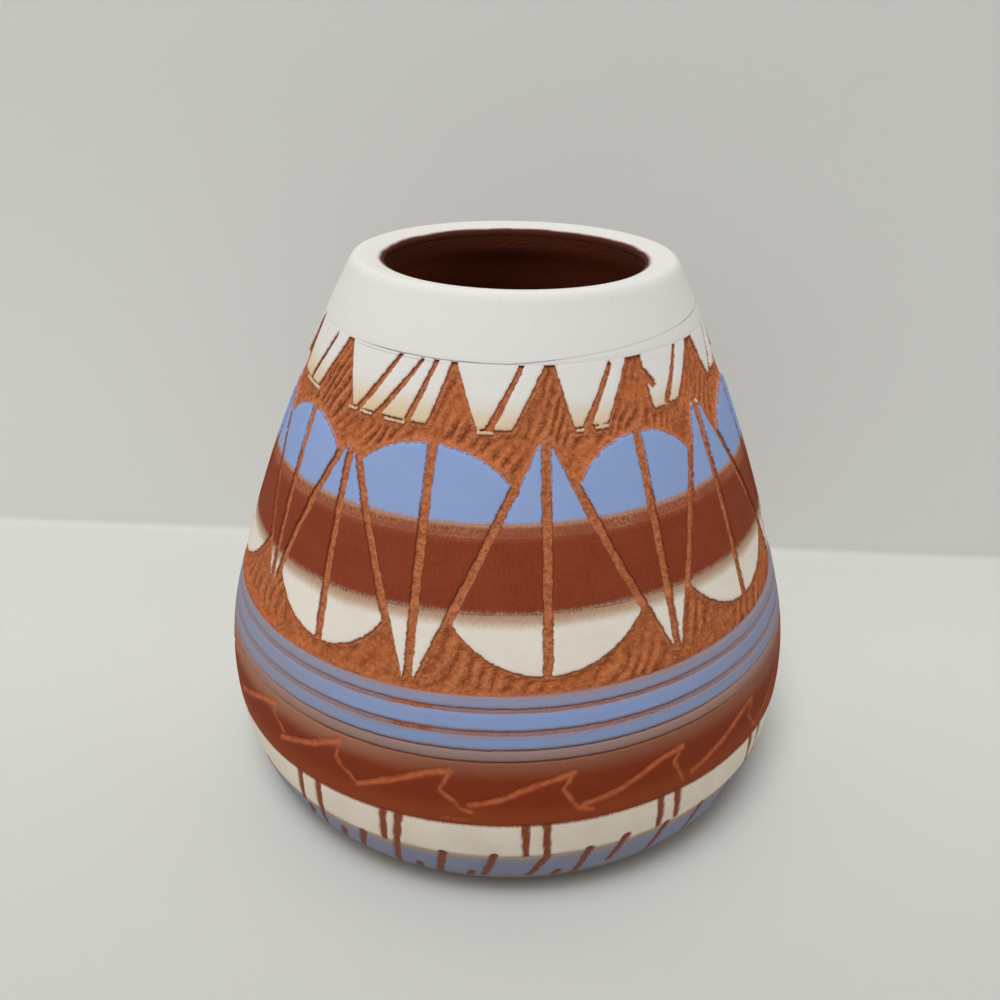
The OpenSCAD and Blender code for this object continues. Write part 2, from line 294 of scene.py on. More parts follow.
def ringBand(name, band, low, high, drawn=None):
    # a closed band of slip: rows up the outside between two ragged edges, with what is drawn scratched into it,
    # then a back sunk in the clay
    cols = stepsRound(low, high, band["step"])
    turns = evenTurns(cols)
    rows = max(int(math.ceil((high - low) / band["step"])), 4)

    def edge(level, seed):
        # a leaning ring roughened by slow and by quick noise
        flat = np.full(cols, 0.5)
        slow, quick = ringNoise(turns, flat, cols // 4, 1, seed), ringNoise(turns, flat, cols // 2, 1, seed + 1)
        return level + ringLean(turns, np.full(cols, level)) + band["ragged"] * (0.7 * slow + 0.3 * quick)

    lowEdge, highEdge = edge(low, band["seed"]), edge(high, band["seed"] + 2)
    height = lowEdge + np.linspace(0, 1, rows + 1)[:, None] * (highEdge - lowEdge)
    turn = np.broadcast_to(turns, height.shape)
    gap = np.minimum(height - lowEdge, highEdge - height)
    depth = band["worn"] * np.exp(-gap / bandWear) + uneven(turn, height, 7)
    pad = lambda a, fill: np.concatenate([a, np.full((2, cols), fill)])
    marks = {"wallShare": pad(np.zeros_like(height), 1.0), "edgeGap": pad(np.minimum(gap, gapKept), 0.0)}
    if drawn:
        scratch = drawn(turn, height)
        depth = depth + band["scratchDeep"] * scratch
        marks["scratch"] = pad(scratch, 0.0)
    back = onVase(np.stack([turns, turns]), np.stack([height[-1], height[0]]), band["foot"])
    return closedRings(name, np.concatenate([onVase(turn, height, depth), back]), rows, marks)


def lineGap(turn, height, top, foot, bow=0.0):
    # mm to the right of a carved line between two (turn, height) points, bowed by degrees at its middle
    share = (height - foot[1]) / (top[1] - foot[1])
    drift = wrapTurn(top[0] - foot[0])
    lineTurn = foot[0] + share * drift + bow * 4 * share * (1 - share)
    slant = math.atan2(math.radians(drift) * radiusAt((top[1] + foot[1]) / 2), top[1] - foot[1])
    return np.radians(wrapTurn(turn - lineTurn)) * vaseRadius(height) * math.cos(slant)


def strokeGap(turn, height, start, end):
    # mm from a straight stroke between two (turn, height) points on the unrolled wall, and the share along it
    scale = np.radians(1.0) * radiusAt((start[1] + end[1]) / 2)
    across, along = wrapTurn(turn - start[0]) * scale, height - start[1]
    dx, dy = wrapTurn(end[0] - start[0]) * scale, end[1] - start[1]
    share = np.clip((across * dx + along * dy) / (dx * dx + dy * dy), 0, 1)
    return np.hypot(across - share * dx, along - share * dy), share


def ragged(turn, height, rough, seed):
    # a chipped edge: slow wander, nicks and finer crumbs
    wander = 0.4 * ringNoise(turn, height, 130, 2.2, seed) + 0.35 * ringNoise(turn, height, 330, 0.9, seed + 1)
    return rough * (wander + 0.75 * ringNoise(turn, height, 800, 0.36, seed + 2))


# Main figures, in degrees from the front towards +X and mm up: cones stand on a bowl, drops hang from a dome
figures = {
    # top turn, foot turn, tip height, bowl height, bowl round
    "cones": [(8, 7.4, 74.6, 43.9, 17.4), (52.5, 54.3, 76.4, 46.2, 15), (98, 98.5, 75.5, 45, 16),
              (143, 143, 74.6, 44.2, 16), (188, 188.5, 74, 43.8, 16.5), (233, 232.5, 73.2, 43.6, 16),
              (283, 280.5, 72, 43.4, 15.5), (-39.1, -37.1, 70.6, 43.3, 13.1)],
    # dome turn, dome height, dome round, point turn, point height; each drop follows the cone of its number
    "drops": [(30.7, 74.6, 12.1, 33, 44.4), (76, 75.3, 12.5, 76.5, 45), (121, 75, 12.5, 121, 44.6),
              (166, 74.4, 13, 166, 43.8), (211, 74, 13, 210.5, 43.2), (256, 73.6, 13, 256, 43),
              (-57.3, 73.3, 12.5, -55, 46.5), (-17.8, 73.7, 17.5, -17.4, 41.4)],
    "middleLine": 1.4,
    "sideLine": 1.32,
    # degrees from a cone's top and from a drop's point to the carved line at the drop's left, then at its right
    "leftLine": (2.2, 1.65),
    "rightLine": (2.4, 1.7),
    "bow": 1.5,
    "frontBow": 0.4,     # the line right of the front cone is straighter
    "rough": 0.15,
    "bevel": 0.14,       # how far a cut's wall slants out, and over a dome
    "domeBevel": 0.5,
    "reach": 40,         # degrees from its middle within which a figure is drawn
    "away": -9.0,
}


def figureField(turn, height):
    # mm inside the nearest figure: the least of the gaps to its side lines, its middle line and its round end
    f = figures
    best = np.full(turn.shape, f["away"])
    spread = np.full(turn.shape, f["bevel"])

    def inFigure(about, middle, sides, roundEnd, pointedEnd):
        gaps = np.minimum(sides, np.abs(middle) - f["middleLine"] / 2)
        gaps = np.minimum(gaps, np.minimum(roundEnd, pointedEnd))
        return np.where(np.abs(wrapTurn(turn - about)) < f["reach"], gaps, f["away"])

    lines = []
    for k, (domeTurn, domeHeight, domeRound, pointTurn, pointHeight) in enumerate(f["drops"]):
        here, after = f["cones"][k], f["cones"][(k + 1) % len(f["cones"])]
        leftTop, rightTop = (here[0] + f["leftLine"][0], here[2]), (after[0] - f["rightLine"][0], after[2])
        leftFoot, rightFoot = pointTurn - f["leftLine"][1], pointTurn + f["rightLine"][1]
        left = lineGap(turn, height, leftTop, (leftFoot, pointHeight), f["bow"] if k else f["frontBow"])
        right = lineGap(turn, height, rightTop, (rightFoot, pointHeight), -f["bow"])
        middle = lineGap(turn, height, (domeTurn, domeHeight), (pointTurn, pointHeight))
        centre = domeHeight - domeRound
        dome = domeRound - np.hypot(middle, np.maximum(height - centre, 0))
        sides = np.minimum(left, -right) - f["sideLine"] / 2
        drop = inFigure(domeTurn, middle, sides, dome, height - pointHeight)
        spread = np.where((drop > best) & (dome < sides) & (height > centre + 2), f["domeBevel"], spread)
        best = np.maximum(best, drop)
        lines.append((left, right))
    for k, (topTurn, footTurn, tipHeight, bowlHeight, bowlRound) in enumerate(f["cones"]):
        middle = lineGap(turn, height, (topTurn, tipHeight), (footTurn, bowlHeight))
        sides = np.minimum(lines[k - 1][1], -lines[k][0]) - f["sideLine"] / 2
        bowl = bowlRound - np.hypot(middle, np.minimum(height - (bowlHeight + bowlRound), 0))
        best = np.maximum(best, inFigure(topTurn, middle, sides, bowl, tipHeight - height))
    return best + ragged(turn, height, f["rough"], 21), spread


def bandOfFigures(low=0.0, high=99.0):
    # the part of the figures that lies between two turned rings
    def field(turn, height):
        figure, spread = figureField(turn, height)
        lean = ringLean(turn, height)
        return figure, np.minimum(height - low - lean, high + lean - height), spread
    return field


coneSkin = {"step": 0.26, "worn": 0.13, "wornWidth": 0.16, "tuck": 0.0, "foot": 0.95}
tuckedSkin, tucked = dict(coneSkin, tuck=0.025), 0.12    # blue and cream run on under the red's edges
leanRoom, domeRoom, bowlRoom = 2.0, 2.2, 0.8    # mm of grid past a leaning ring, the domes and the bowls
redLow, redHigh = solidSpan("red_panels")
blueTop, bowlLow = solidSpan("blue_panels")[1] + domeRoom, solidSpan("cream_panels")[0] - bowlRoom
bluePanels = cutShell("bluePanels", tuckedSkin, redHigh - leanRoom, blueTop,
                      bandOfFigures(low=redHigh - tucked))
redPanels = cutShell("redPanels", coneSkin, redLow - leanRoom, redHigh + leanRoom,
                     bandOfFigures(redLow, redHigh))
creamPanels = cutShell("creamPanels", tuckedSkin, bowlLow, redLow + leanRoom,
                       bandOfFigures(high=redLow + tucked))

# Fringe: cream panels between carved teeth, slashed by slanting strokes
fringe = {
    "skin": {"step": 0.2, "worn": 0.12, "wornWidth": 0.14, "tuck": 0.06, "foot": 0.95},
    # left and right edge of each tooth at the top, then at its foot
    "teeth": [(-52.3, -49.9, -59.9, -42.3), (-15.8, -14.4, -20.3, -7.9), (8.3, 10.9, 0.2, 15.1),
              (31.5, 36.5, 23.5, 37.4), (57.4, 61.7, 47.0, 65.0), (84, 87, 74, 91), (-80, -76.9, -88, -74.1)]
             + [(a - 1.3, a + 1.3, a - 9.4, a + 5.5) for a in (111, 135, 159, 184, 209, 234, 259)],
    "toothTop": 84.2,
    "toothReach": 30,    # degrees within which a tooth is drawn
    # top turn and height, foot turn and height
    "strokes": [(-59.3, 83.6, -65.8, 76.3), (-30.8, 84.1, -40.3, 75.9), (-24.2, 83.8, -34.2, 75.8),
                (-20.1, 84.1, -25.5, 75.8), (2.4, 84.0, -5.3, 76), (26.1, 83.6, 18.2, 76.5),
                (50.8, 84.0, 42.1, 77.5), (76, 83.6, 67, 78)]
               + [(a + 16.7, 83.9, a + 8.6, 76) for a in (87, 111, 135, 159, 184, 209, 234, 259)],
    "strokeTop": 0.68,
    "strokeFoot": 1.02,
    "notch": ((36.0, 82.0), (38.6, 80.2)),    # a short wide stroke beside a tooth
    "notchWidth": 1.1,
    # slips of cream left under the ring line: from turn, to turn
    "slips": [(-69, -58.8), (-43.7, -40.4), (-39.4, -35.5), (-31.6, -25.9), (-7.8, -3.9), (15.3, 17.3),
              (20, 23.5), (120, 126), (170, 176), (218, 222)],
    "slipHigh": 0.6,     # how far a slip reaches below the panels
    "slipGap": 0.2,
    "low": 76.1,         # height of the panels' foot, how much higher it is on the right, and where
    "rise": 2.2,
    "riseAt": 75,
    "riseOver": 38.0,
    "rough": 0.12,
    "bevel": 0.14,
    "tucked": 0.2,       # how far the top runs up under the collar
    "room": (1.2, 0.4),    # mm of grid below and above the panels
}


def fringeFoot(turn):
    # level, with a bell-shaped rise on the right
    away = wrapTurn(turn - fringe["riseAt"]) / fringe["riseOver"]
    return fringe["low"] + fringe["rise"] * np.exp(-away ** 2)


def fringeField(turn, height):
    # mm inside the cream: the least of the gaps to the panels' foot, the teeth and the strokes
    f = fringe
    foot = fringeFoot(turn)
    figure = height - foot
    for topLeft, topRight, footLeft, footRight in f["teeth"]:
        footHeight = float(fringeFoot((footLeft + footRight) / 2.0))
        left = lineGap(turn, height, (topLeft, f["toothTop"]), (footLeft, footHeight))
        right = lineGap(turn, height, (topRight, f["toothTop"]), (footRight, footHeight))
        near = np.abs(wrapTurn(turn - topLeft)) < f["toothReach"]
        figure = np.where(near, np.minimum(figure, -np.minimum(left, -right)), figure)
    for topTurn, topHeight, footTurn, footHeight in f["strokes"]:
        gap, share = strokeGap(turn, height, (topTurn, topHeight), (footTurn, footHeight))
        figure = np.minimum(figure, gap - (f["strokeTop"] + share * (f["strokeFoot"] - f["strokeTop"])) / 2)
    figure = np.minimum(figure, strokeGap(turn, height, *f["notch"])[0] - f["notchWidth"] / 2)
    perDegree = np.radians(1.0) * vaseRadius(height)
    upright = np.minimum(height - foot + f["slipHigh"], foot - f["slipGap"] - height)
    for fromTurn, toTurn in f["slips"]:
        within = np.minimum(wrapTurn(turn - fromTurn), wrapTurn(toTurn - turn)) * perDegree
        figure = np.maximum(figure, np.minimum(within, upright))
    return figure + ragged(turn, height, f["rough"], 31), fringeTop - height, np.full(turn.shape, f["bevel"])


collarLow = solidSpan("cream_collar")[0]
fringeLow, fringeTop = solidSpan("fringe_panels")[0], collarLow + fringe["tucked"]
roomBelow, roomAbove = fringe["room"]
fringePanels = cutShell("fringePanels", fringe["skin"], fringeLow - roomBelow, fringeTop + roomAbove, fringeField)

# Turned stripes of slip under the figures
stripe = {
    "step": 0.3, "ragged": 0.09, "worn": 0.1, "foot": 0.95,
    # solid, how far the slip runs down past it, and the seed of its ragged edges
    "solids": {"upperBlueStripe": ("upper_blue_stripe", 0.2, 41),
               "middleBlueStripe": ("middle_blue_stripe", 0.15, 45),
               "lowerBlueStripe": ("lower_blue_stripe", 0.1, 49),
               "greyStripe": ("grey_stripe", 0.0, 53)},
}
stripes = {}
for name, (node, past, seed) in stripe["solids"].items():
    low, high = solidSpan(node)
    stripes[name] = ringBand(name, dict(stripe, seed=seed), low - past, high)

# Zigzag scratched in the red band: each wave climbs to a crest, hooks back and falls to the next trough
wave = {
    "step": 0.28, "ragged": 0.12, "worn": 0.06, "foot": 0.95, "seed": 61, "scratchDeep": 0.22,
    # the climb's points, then the fall's, as (turn, height)
    "waves": [
        ([(-63, 22.8), (-57.4, 24.9), (-51.2, 27.5), (-46.2, 28.9)],
         [(-46.2, 28.9), (-46.8, 26.9), (-44.6, 25.8), (-43.4, 24.6)]),
        ([(-44.5, 23.4), (-35.7, 26.5), (-29.3, 29.6)],
         [(-29.3, 29.6), (-30, 26.6), (-29.1, 25.2), (-27.3, 24.3), (-25.8, 22.9)]),
        ([(-25.8, 22.9), (-20.2, 25.4), (-12.6, 28.7), (-9.1, 29.5)],
         [(-8.9, 29.1), (-10.7, 26.0), (-8.0, 24.2), (-7.2, 23.0), (-5.2, 22.5)]),
        ([(-5.5, 23.9), (-0.6, 25.1), (5.7, 27.7), (11.7, 29.3)],
         [(11.4, 28.8), (9.9, 26.7), (11.6, 24.3), (12.8, 22.9), (15.0, 22.2)]),
        ([(13.6, 23.4), (18.9, 24.6), (28, 28.3), (32, 28.9)],
         [(31.5, 27.9), (30.4, 26.9), (31.3, 25.2), (32.9, 22.4)]),
    ] + [
        ([(c - 17.5, 23.2), (c - 12, 25), (c - 4, 28.3), (c, 29.1)],
         [(c, 28.8), (c - 1.4, 26.6), (c + 0.4, 24.2), (c + 1.7, 22.8), (c + 3, 22.4)])
        for c in 32 + 20.3 * np.arange(1, 14)],
    "scratches": [[(-10.5, 20.6), (-8.5, 21.0)], [(-8.2, 20.7), (-5.6, 21.0)], [(22, 20.9), (24.5, 20.8)]],
    "climbWidth": 0.95,
    "fallWidth": 0.55,
    "scratchWidth": 0.1,
}


def zigzag(turn, height):
    # 1 on the scratched line, fading out over its soft edge
    gaps = np.full(turn.shape, 9.0)
    widths = wave["climbWidth"], wave["fallWidth"]
    runs = [pair for waves in wave["waves"] for pair in zip(waves, widths)]
    runs += [(run, wave["scratchWidth"]) for run in wave["scratches"]]
    for run, width in runs:
        for start, end in zip(run[:-1], run[1:]):
            gaps = np.minimum(gaps, strokeGap(turn, height, start, end)[0] - width / 2)
    gaps = gaps + 0.12 * ringNoise(turn, height, 260, 1.0, 62) + 0.08 * ringNoise(turn, height, 700, 0.4, 63)
    return 1 - ease(gaps, -0.2, 0.22)


waveLow, waveHigh = solidSpan("wave_band")
waveBand = ringBand("waveBand", wave, waveLow, waveHigh, zigzag)

# Paired bars across the cream, runs of the red slip, and slanting dashes across the blue of the foot
bars = {
    "step": 0.28, "ragged": 0.14, "worn": 0.05, "foot": 0.95, "seed": 71, "scratchDeep": 0.18,
    # turn and height at the top, turn and height at the foot
    "runs": [(-39.4, 20.5, -41.4, 11.1), (-34.8, 20.5, -37.2, 5.6), (-20.9, 20.5, -21.6, 12),
             (-17.8, 20.5, -20.4, 4.5), (3.9, 20.6, 4.2, 12.6), (7.4, 20.6, 8.0, 12), (28.3, 21, 29.4, 13.5),
             (31.9, 21.2, 33.1, 14), (53.5, 21, 55.7, 13), (57.5, 21, 59, 12)]
            + [(a + s, 20.6, a + s + 0.6, 12 - s * 1.5) for a in range(80, 300, 24) for s in (-1.9, 1.9)],
    "width": 1.4,
}
dashes = {
    "step": 0.3, "ragged": 0.12, "worn": 0.05, "foot": 0.95, "seed": 81, "scratchDeep": 0.18,
    "runs": [(-31.5, 9, -32.7, 5.6), (-26.3, 11.4, -28.4, 5), (-10.5, 12, -12, 4.2), (-1.4, 12.5, -3.3, 5.9),
             (8, 12, 5, 6), (15.7, 12.7, 13.7, 4.9), (22.7, 14, 20.3, 7.9), (31.2, 13, 29, 6), (40, 13, 38, 6),
             (-15.5, 7, -16, 5), (-5.5, 7, -6, 5.4), (10.5, 7.2, 10, 5.6), (-40, 10, -41.5, 5)]
            + [(a, 12, a - 2.2, 5.4) for a in np.arange(49, 315, 9.5)],
    "width": 1.35,
}


def runMarks(spec, others):
    # 1 on each painted run, its own and its neighbour's, narrower towards the foot and with a broken edge
    def mark(turn, height):
        gaps = np.full(turn.shape, 9.0)
        for topTurn, topHeight, footTurn, footHeight in spec["runs"] + others["runs"]:
            gap, share = strokeGap(turn, height, (topTurn, topHeight), (footTurn, footHeight))
            gaps = np.minimum(gaps, gap - spec["width"] / 2 * (1 - 0.25 * share))
        gaps = gaps + 0.12 * ringNoise(turn, height, 320, 0.9, spec["seed"] + 7)
        return 1 - ease(gaps, -0.12, 0.16)
    return mark


barLow, barHigh = solidSpan("bar_band")
footLow, footHigh = solidSpan("foot_band")
barBand = ringBand("barBand", bars, barLow, barHigh, runMarks(bars, dashes))
footBand = ringBand("footBand", dashes, footLow, footHigh, runMarks(dashes, bars))

# Collar: cream over the neck and the sloping lip, and just over the lip's inner edge
collar = {
    "step": 0.6,
    "cols": 480,
    # rings of the foot, as mm up from the solid and mm under the surface, so that no edge shows on the fringe
    "foot": [(-0.18, 0.06), (-0.1, 0.03), (0.0, 0.0)],
    "edge": 90.0,                # height where the lip's outer round leaves the wall
    "outerReach": (2.2, 1.1),    # how far the round holds the wall's slope, and the crest's level
    "crest": (25.0, 92.97),      # radius and height
    "mouth": (20.9, 91.93),      # the lip's inner edge
    "innerBend": 1.35,           # 2 is a quarter of an ellipse, 1 a straight bevel
    "inside": 90.9,              # height where the cream ends inside
    # rings past the mouth's radius and that height: the cream's end, then the start of its back
    "innerEnd": [(0.0, 0.3), (0.05, 0.12), (0.14, 0.0)],
    "innerBack": [(0.7, 0.0), (1.0, 0.4)],
    "sunk": (1.6, 0.95),         # how deep the back lies under the edge and under the foot
    "wornFrom": 22.3,            # radius where the cream starts to wear off
    "wornOver": 1.8,
}


def quarterRound(start, end, bend, count=12):
    # a quarter of a superellipse from an upright start to a level end, in (radius, height)
    angle = np.linspace(0, math.pi / 2, count)
    radius = end[0] + (start[0] - end[0]) * np.cos(angle) ** (2 / bend)
    height = start[1] + (end[1] - start[1]) * np.sin(angle) ** (2 / bend)
    return np.stack([radius, height], 1)


def outerRound(edge, slope, crest, reach, count=16):
    # a cubic curve that leaves the edge along the wall's slope and comes level at the crest
    ahead = np.array([slope, 1.0]) / math.hypot(slope, 1.0)
    edge, crest = np.array(edge), np.array(crest)
    knots = [edge, edge + reach[0] * ahead, crest + [reach[1], 0.0], crest]
    u = np.linspace(0, 1, count)[:, None]
    shares = [(1 - u) ** 3, 3 * u * (1 - u) ** 2, 3 * u ** 2 * (1 - u), u ** 3]
    return sum(share * knot for share, knot in zip(shares, knots))


def lipProfile(low, spec):
    # up the wall, round to the crest, down its inner slope and a little way inside, then back through the clay
    rises, sunk = zip(*spec["foot"])
    steps = np.arange(low + spec["step"], spec["edge"] - 0.1, spec["step"])
    up = np.concatenate([[low + rise for rise in rises], steps])
    wall = np.stack([vaseRadius(up), up], 1)
    wall[:len(sunk), 0] -= sunk
    edge = (radiusAt(spec["edge"]), spec["edge"])
    slope = edge[0] - radiusAt(spec["edge"] - 1.0)
    outer = outerRound(edge, slope, spec["crest"], spec["outerReach"])
    inner = quarterRound(spec["mouth"], spec["crest"], spec["innerBend"])[::-1]
    end = np.array([spec["mouth"][0], spec["inside"]])
    front = np.concatenate([wall, outer, inner[1:], end + spec["innerEnd"]])
    back = [[edge[0] - spec["sunk"][0], spec["inside"]], [wall[0, 0] - spec["sunk"][1], up[0]]]
    return front, np.concatenate([end + spec["innerBack"], back])


front, back = lipProfile(collarLow, collar)
within = np.clip((collar["wornFrom"] - front[:, 0]) / collar["wornOver"], 0, 1)
within = np.repeat(np.concatenate([within, np.zeros(len(back))]), collar["cols"])
collarPoints = turnRings(np.concatenate([front, back]), evenTurns(collar["cols"])) * mm
creamCollar = closedRings("creamCollar", collarPoints, len(front) - 1, {"within": within})

# Clay: the cast vessel, gouged by the tool wherever the slip was carved away
clay = {
    "cols": 640,
    "gougeDeep": 0.28,
    "lineRise": 0.16,            # the carved lines are shallower than the ground
    # slanting cuts above and ridges below the figures: how many round the vase, and mm up from one to the next
    "upperCuts": (116, 3.05),
    "lowerCuts": (112, 5.9),
    "upperFrom": 58,
    "dabs": 250,                 # upright dabs round the figures' foot
    "stripeGround": 0.28,        # depth of the scratched lines between the stripes
    # where a ground fades in or out, as two heights
    "dabsEnd": (42.6, 43.6),
    "shownFrom": (41.2, 42.0),
    "shownTo": (84.0, 84.4),
    "stripesFrom": (30.6, 31.2),
    "stripesTo": (40.9, 41.4),
    "bareFoot": 3.4,
    # rows up the outside as from, to and step, close together where the ground shows
    "rows": [(0.9, 3.4, 0.8), (3.4, 3.5, 1.0), (3.65, 29.0, 2.8), (29.6, 33.2, 0.7), (34.45, 41.0, 2.8),
             (41.0, 52.2, 0.4), (52.2, 66.0, 1.1), (66.0, 84.6, 0.4), (85.0, 90.2, 1.7)],
    "baseBend": (-90, -83, -74, -66),    # degrees down the foot's round to the flat base
    # lip under the collar, as radius and height, then as mm past the mouth's edge
    "lip": [(25.8, 90.9), (24.6, 91.9), (22.6, 91.7)],
    "mouthEdge": [(0.3, 0.2), (0.02, 0.0), (0.0, -0.06)],
    "insideRows": [(90.2, 85.8, 6), (82.0, 12.5, 11)],    # from, to and count
    "mouthFade": 5.5,            # mm below the collar over which the mouth widens to the wall's inside
    "floorFrom": 12.5,
    "floorRound": 6.5,
    "pole": 0.01,                # radius of the small middle faces of base and floor
}


def toolMarks(turn, height):
    # place in the tool's slanting cuts as an angle, 0 in a cut and half a turn on the ridge between two, warped
    # by noise; how deep they are; the relief they give, with upright dabs at the foot; and the carved lines
    warp = 0.6 * ringNoise(turn, height, 50, 5.0, 91) + 0.14 * ringNoise(turn, height, 160, 2.0, 92)
    slanted = lambda around, apart: turn / 360.0 * around - height / apart + warp
    upper = height > clay["upperFrom"]
    angle = 2 * math.pi * np.where(upper, slanted(*clay["upperCuts"]), slanted(*clay["lowerCuts"]))
    cut = np.where(upper, 0.55 - 1.55 * np.exp(-(np.sin(angle / 2) / 0.6) ** 2),
                   -0.35 + 1.2 * np.exp(-(np.cos(angle / 2) / 0.5) ** 2))
    dabs = np.sin(np.radians(turn) * clay["dabs"] / 2 + 0.4 * math.pi * warp)
    dabs = (1.1 * np.exp(-(dabs / 0.45) ** 2) - 0.35) * (1 - ease(height, *clay["dabsEnd"]))
    nearest = np.maximum(figureField(turn, height)[0], fringeField(turn, height)[0])
    firm = 0.2 + 0.8 * ease(ringNoise(turn, height, 56, 3.6, 94), -0.5, 0.35)
    deep = firm * np.where(upper, 0.8 - 0.25 * np.sin(np.radians(turn)), 0.6) * ease(-nearest, 0.5, 1.1)
    relief = np.where(upper, cut, np.maximum(cut, dabs)) * deep + 0.2 * ringNoise(turn, height, 420, 0.7, 93)
    return angle, deep, relief, ease(nearest, -0.8, -0.6)


def clayOutside(spec, turns):
    # the wall under the slip, lower in the tool's cuts and higher in the carved lines, in mm, and its marks
    turn, height = np.meshgrid(turns, np.concatenate([np.arange(*row) for row in spec["rows"]]))
    angle, deep, relief, carvedLine = toolMarks(turn, height)
    shown = ease(height, *spec["shownFrom"]) * (1 - ease(height, *spec["shownTo"]))
    groove = spec["stripeGround"] * (1 - 0.7 * ease(np.abs(np.sin(np.radians(turn))), 0.4, 0.8))
    striped = ease(height - ringLean(turn, height), *spec["stripesFrom"])
    striped = striped * (1 - ease(height, *spec["stripesTo"]))
    ground = outline["slip"] + (groove - outline["slip"]) * striped
    carved = -spec["lineRise"] * carvedLine - spec["gougeDeep"] * relief
    depth = np.where(height <= spec["bareFoot"], 0.0, ground + shown * carved)
    marks = {"cutSin": np.sin(angle), "cutCos": np.cos(angle), "cutDeep": deep * shown,
             "carvedLine": carvedLine * shown, "gouge": relief * shown}
    return onVase(turn, height, depth) / mm, marks


def clayInside(spec):
    # profile over the lip, down the inside at the wall's thickness, round its foot and across the floor
    edge = np.array([collar["mouth"][0] + 0.02, collar["inside"] + 0.13])
    tall = np.concatenate([np.linspace(*row) for row in spec["insideRows"]])
    inner = np.stack([vaseRadius(tall, outline["wall"]), tall], 1)
    inner[:, 0] = edge[0] + (inner[:, 0] - edge[0]) * ease(collar["inside"] - tall, 0, spec["mouthFade"])
    curve, bend = np.radians(np.linspace(20, 90, 4)), spec["floorRound"]
    radius = radiusAt(spec["floorFrom"], outline["wall"]) - bend
    turnIn = np.stack([radius + bend * np.cos(curve), spec["floorFrom"] - bend * np.sin(curve)], 1)
    floor = [[radius * 0.5, outline["floor"]], [spec["pole"], outline["floor"]]]
    return np.concatenate([spec["lip"], edge + spec["mouthEdge"], inner, turnIn, floor])


def clayVessel(spec):
    # rings from the middle of the base out, up the outside, over the lip and down to the middle of the floor
    cols = spec["cols"]
    turns = evenTurns(cols)
    footRound, footRadius = arcRounds[0], arcCentres[0, 0]
    bend = np.radians(np.array(spec["baseBend"]))
    base = np.stack([footRadius + footRound * np.cos(bend), footRound + footRound * np.sin(bend)], 1)
    base = np.concatenate([[[spec["pole"], 0], [footRadius * 0.5, 0]], base])
    outside, marks = clayOutside(spec, turns)
    rest = clayInside(spec)
    points = np.concatenate([turnRings(base, turns), outside, turnRings(rest, turns)])
    rows = len(points)
    quads = ringQuads(rows, cols)[:-1].reshape(-1, 4)
    grid = np.arange(rows * cols).reshape(rows, cols)
    caps = np.stack([grid[0, ::-1], grid[-1]])    # the base's and the floor's small middle faces
    pad = lambda a: np.concatenate([np.zeros((len(base), cols)), a, np.zeros((len(rest), cols))])
    marks = {key: pad(values) for key, values in marks.items()}
    marks["within"] = np.repeat(np.arange(rows) >= rows - len(rest), cols)
    return makePiece("clayBody", points.reshape(-1, 3) * mm, [(quads, True), (caps, False)], marks)


clayBody = clayVessel(clay)


def tone(red, green, blue):
    # a colour as it is read off a screen, 0 to 255, as the linear colour that the shader takes
    share = np.array([red, green, blue]) / 255.0
    linear = np.where(share <= 0.04045, share / 12.92, ((share + 0.055) / 1.055) ** 2.4)
    return (*(float(v) for v in linear), 1.0)


# Screen colours of the finishes
colours = {name: tone(*screen) for name, screen in {
    "clay": (177, 98, 55), "clayPatch": (160, 87, 49), "clayDark": (110, 54, 29), "clayLight": (199, 123, 78),
    "lineLow": (163, 92, 56), "lineHigh": (190, 115, 75), "gritLight": (206, 138, 98), "gritDark": (128, 66, 38),
    "cutClay": (150, 82, 50), "cutBevel": (190, 118, 80), "cutRubbed": (190, 130, 90),
    "mouthDeep": (98, 45, 26), "mouthClay": (150, 75, 46), "lipClay": (70, 31, 18),
    "cream": (212, 210, 206), "creamWarm": (214, 208, 202), "creamSpeck": (186, 172, 156), "pencil": (92, 90, 88),
    "fringeFoot": (206, 184, 152), "fringeRubbed": (150, 100, 68),
    "bowlCream": (221, 213, 201), "bowlDark": (213, 204, 190), "tan": (182, 151, 125),
    "tanBrown": (166, 134, 112), "blue": (132, 153, 197), "blueLight": (143, 161, 199), "blueBrown": (164, 122, 100),
    "red": (123, 51, 27), "redLight": (134, 62, 38), "redBrushed": (190, 128, 97), "redLine": (180, 120, 92),
    "redBrown": (146, 83, 58), "redDark": (112, 62, 42),
    "upperBlue": (136, 140, 168), "upperRim": (150, 120, 112), "upperFoot": (140, 136, 160),
    "middleBlue": (129, 149, 192), "middleRim": (142, 130, 142), "middleFoot": (128, 128, 156),
    "lowerBlue": (123, 144, 183), "lowerRim": (138, 120, 126), "lowerFoot": (132, 124, 136),
    "grey": (144, 120, 117), "greyRim": (134, 112, 110), "greyFoot": (138, 110, 100), "greyHaze": (153, 113, 97),
    "mauve": (152, 120, 120), "stripeHaze": (138, 134, 146), "lineDark": (88, 64, 74),
    "waveTop": (134, 86, 65), "waveDark": (122, 47, 20), "waveLow": (138, 60, 26), "waveHaze": (157, 106, 81),
    "scratched": (184, 100, 62), "runMottle": (228, 218, 200),
    "barCream": (230, 218, 203), "barRun": (134, 66, 38), "barFoot": (176, 156, 134),
    "footBlue": (135, 139, 162), "footTop": (162, 142, 124), "footLow": (132, 120, 114), "footRun": (131, 77, 57),
    "floorNear": (190, 190, 186), "floorFar": (210, 211, 206),
    "wallLow": (217, 217, 214), "wallHigh": (203, 203, 199),
}.items()}


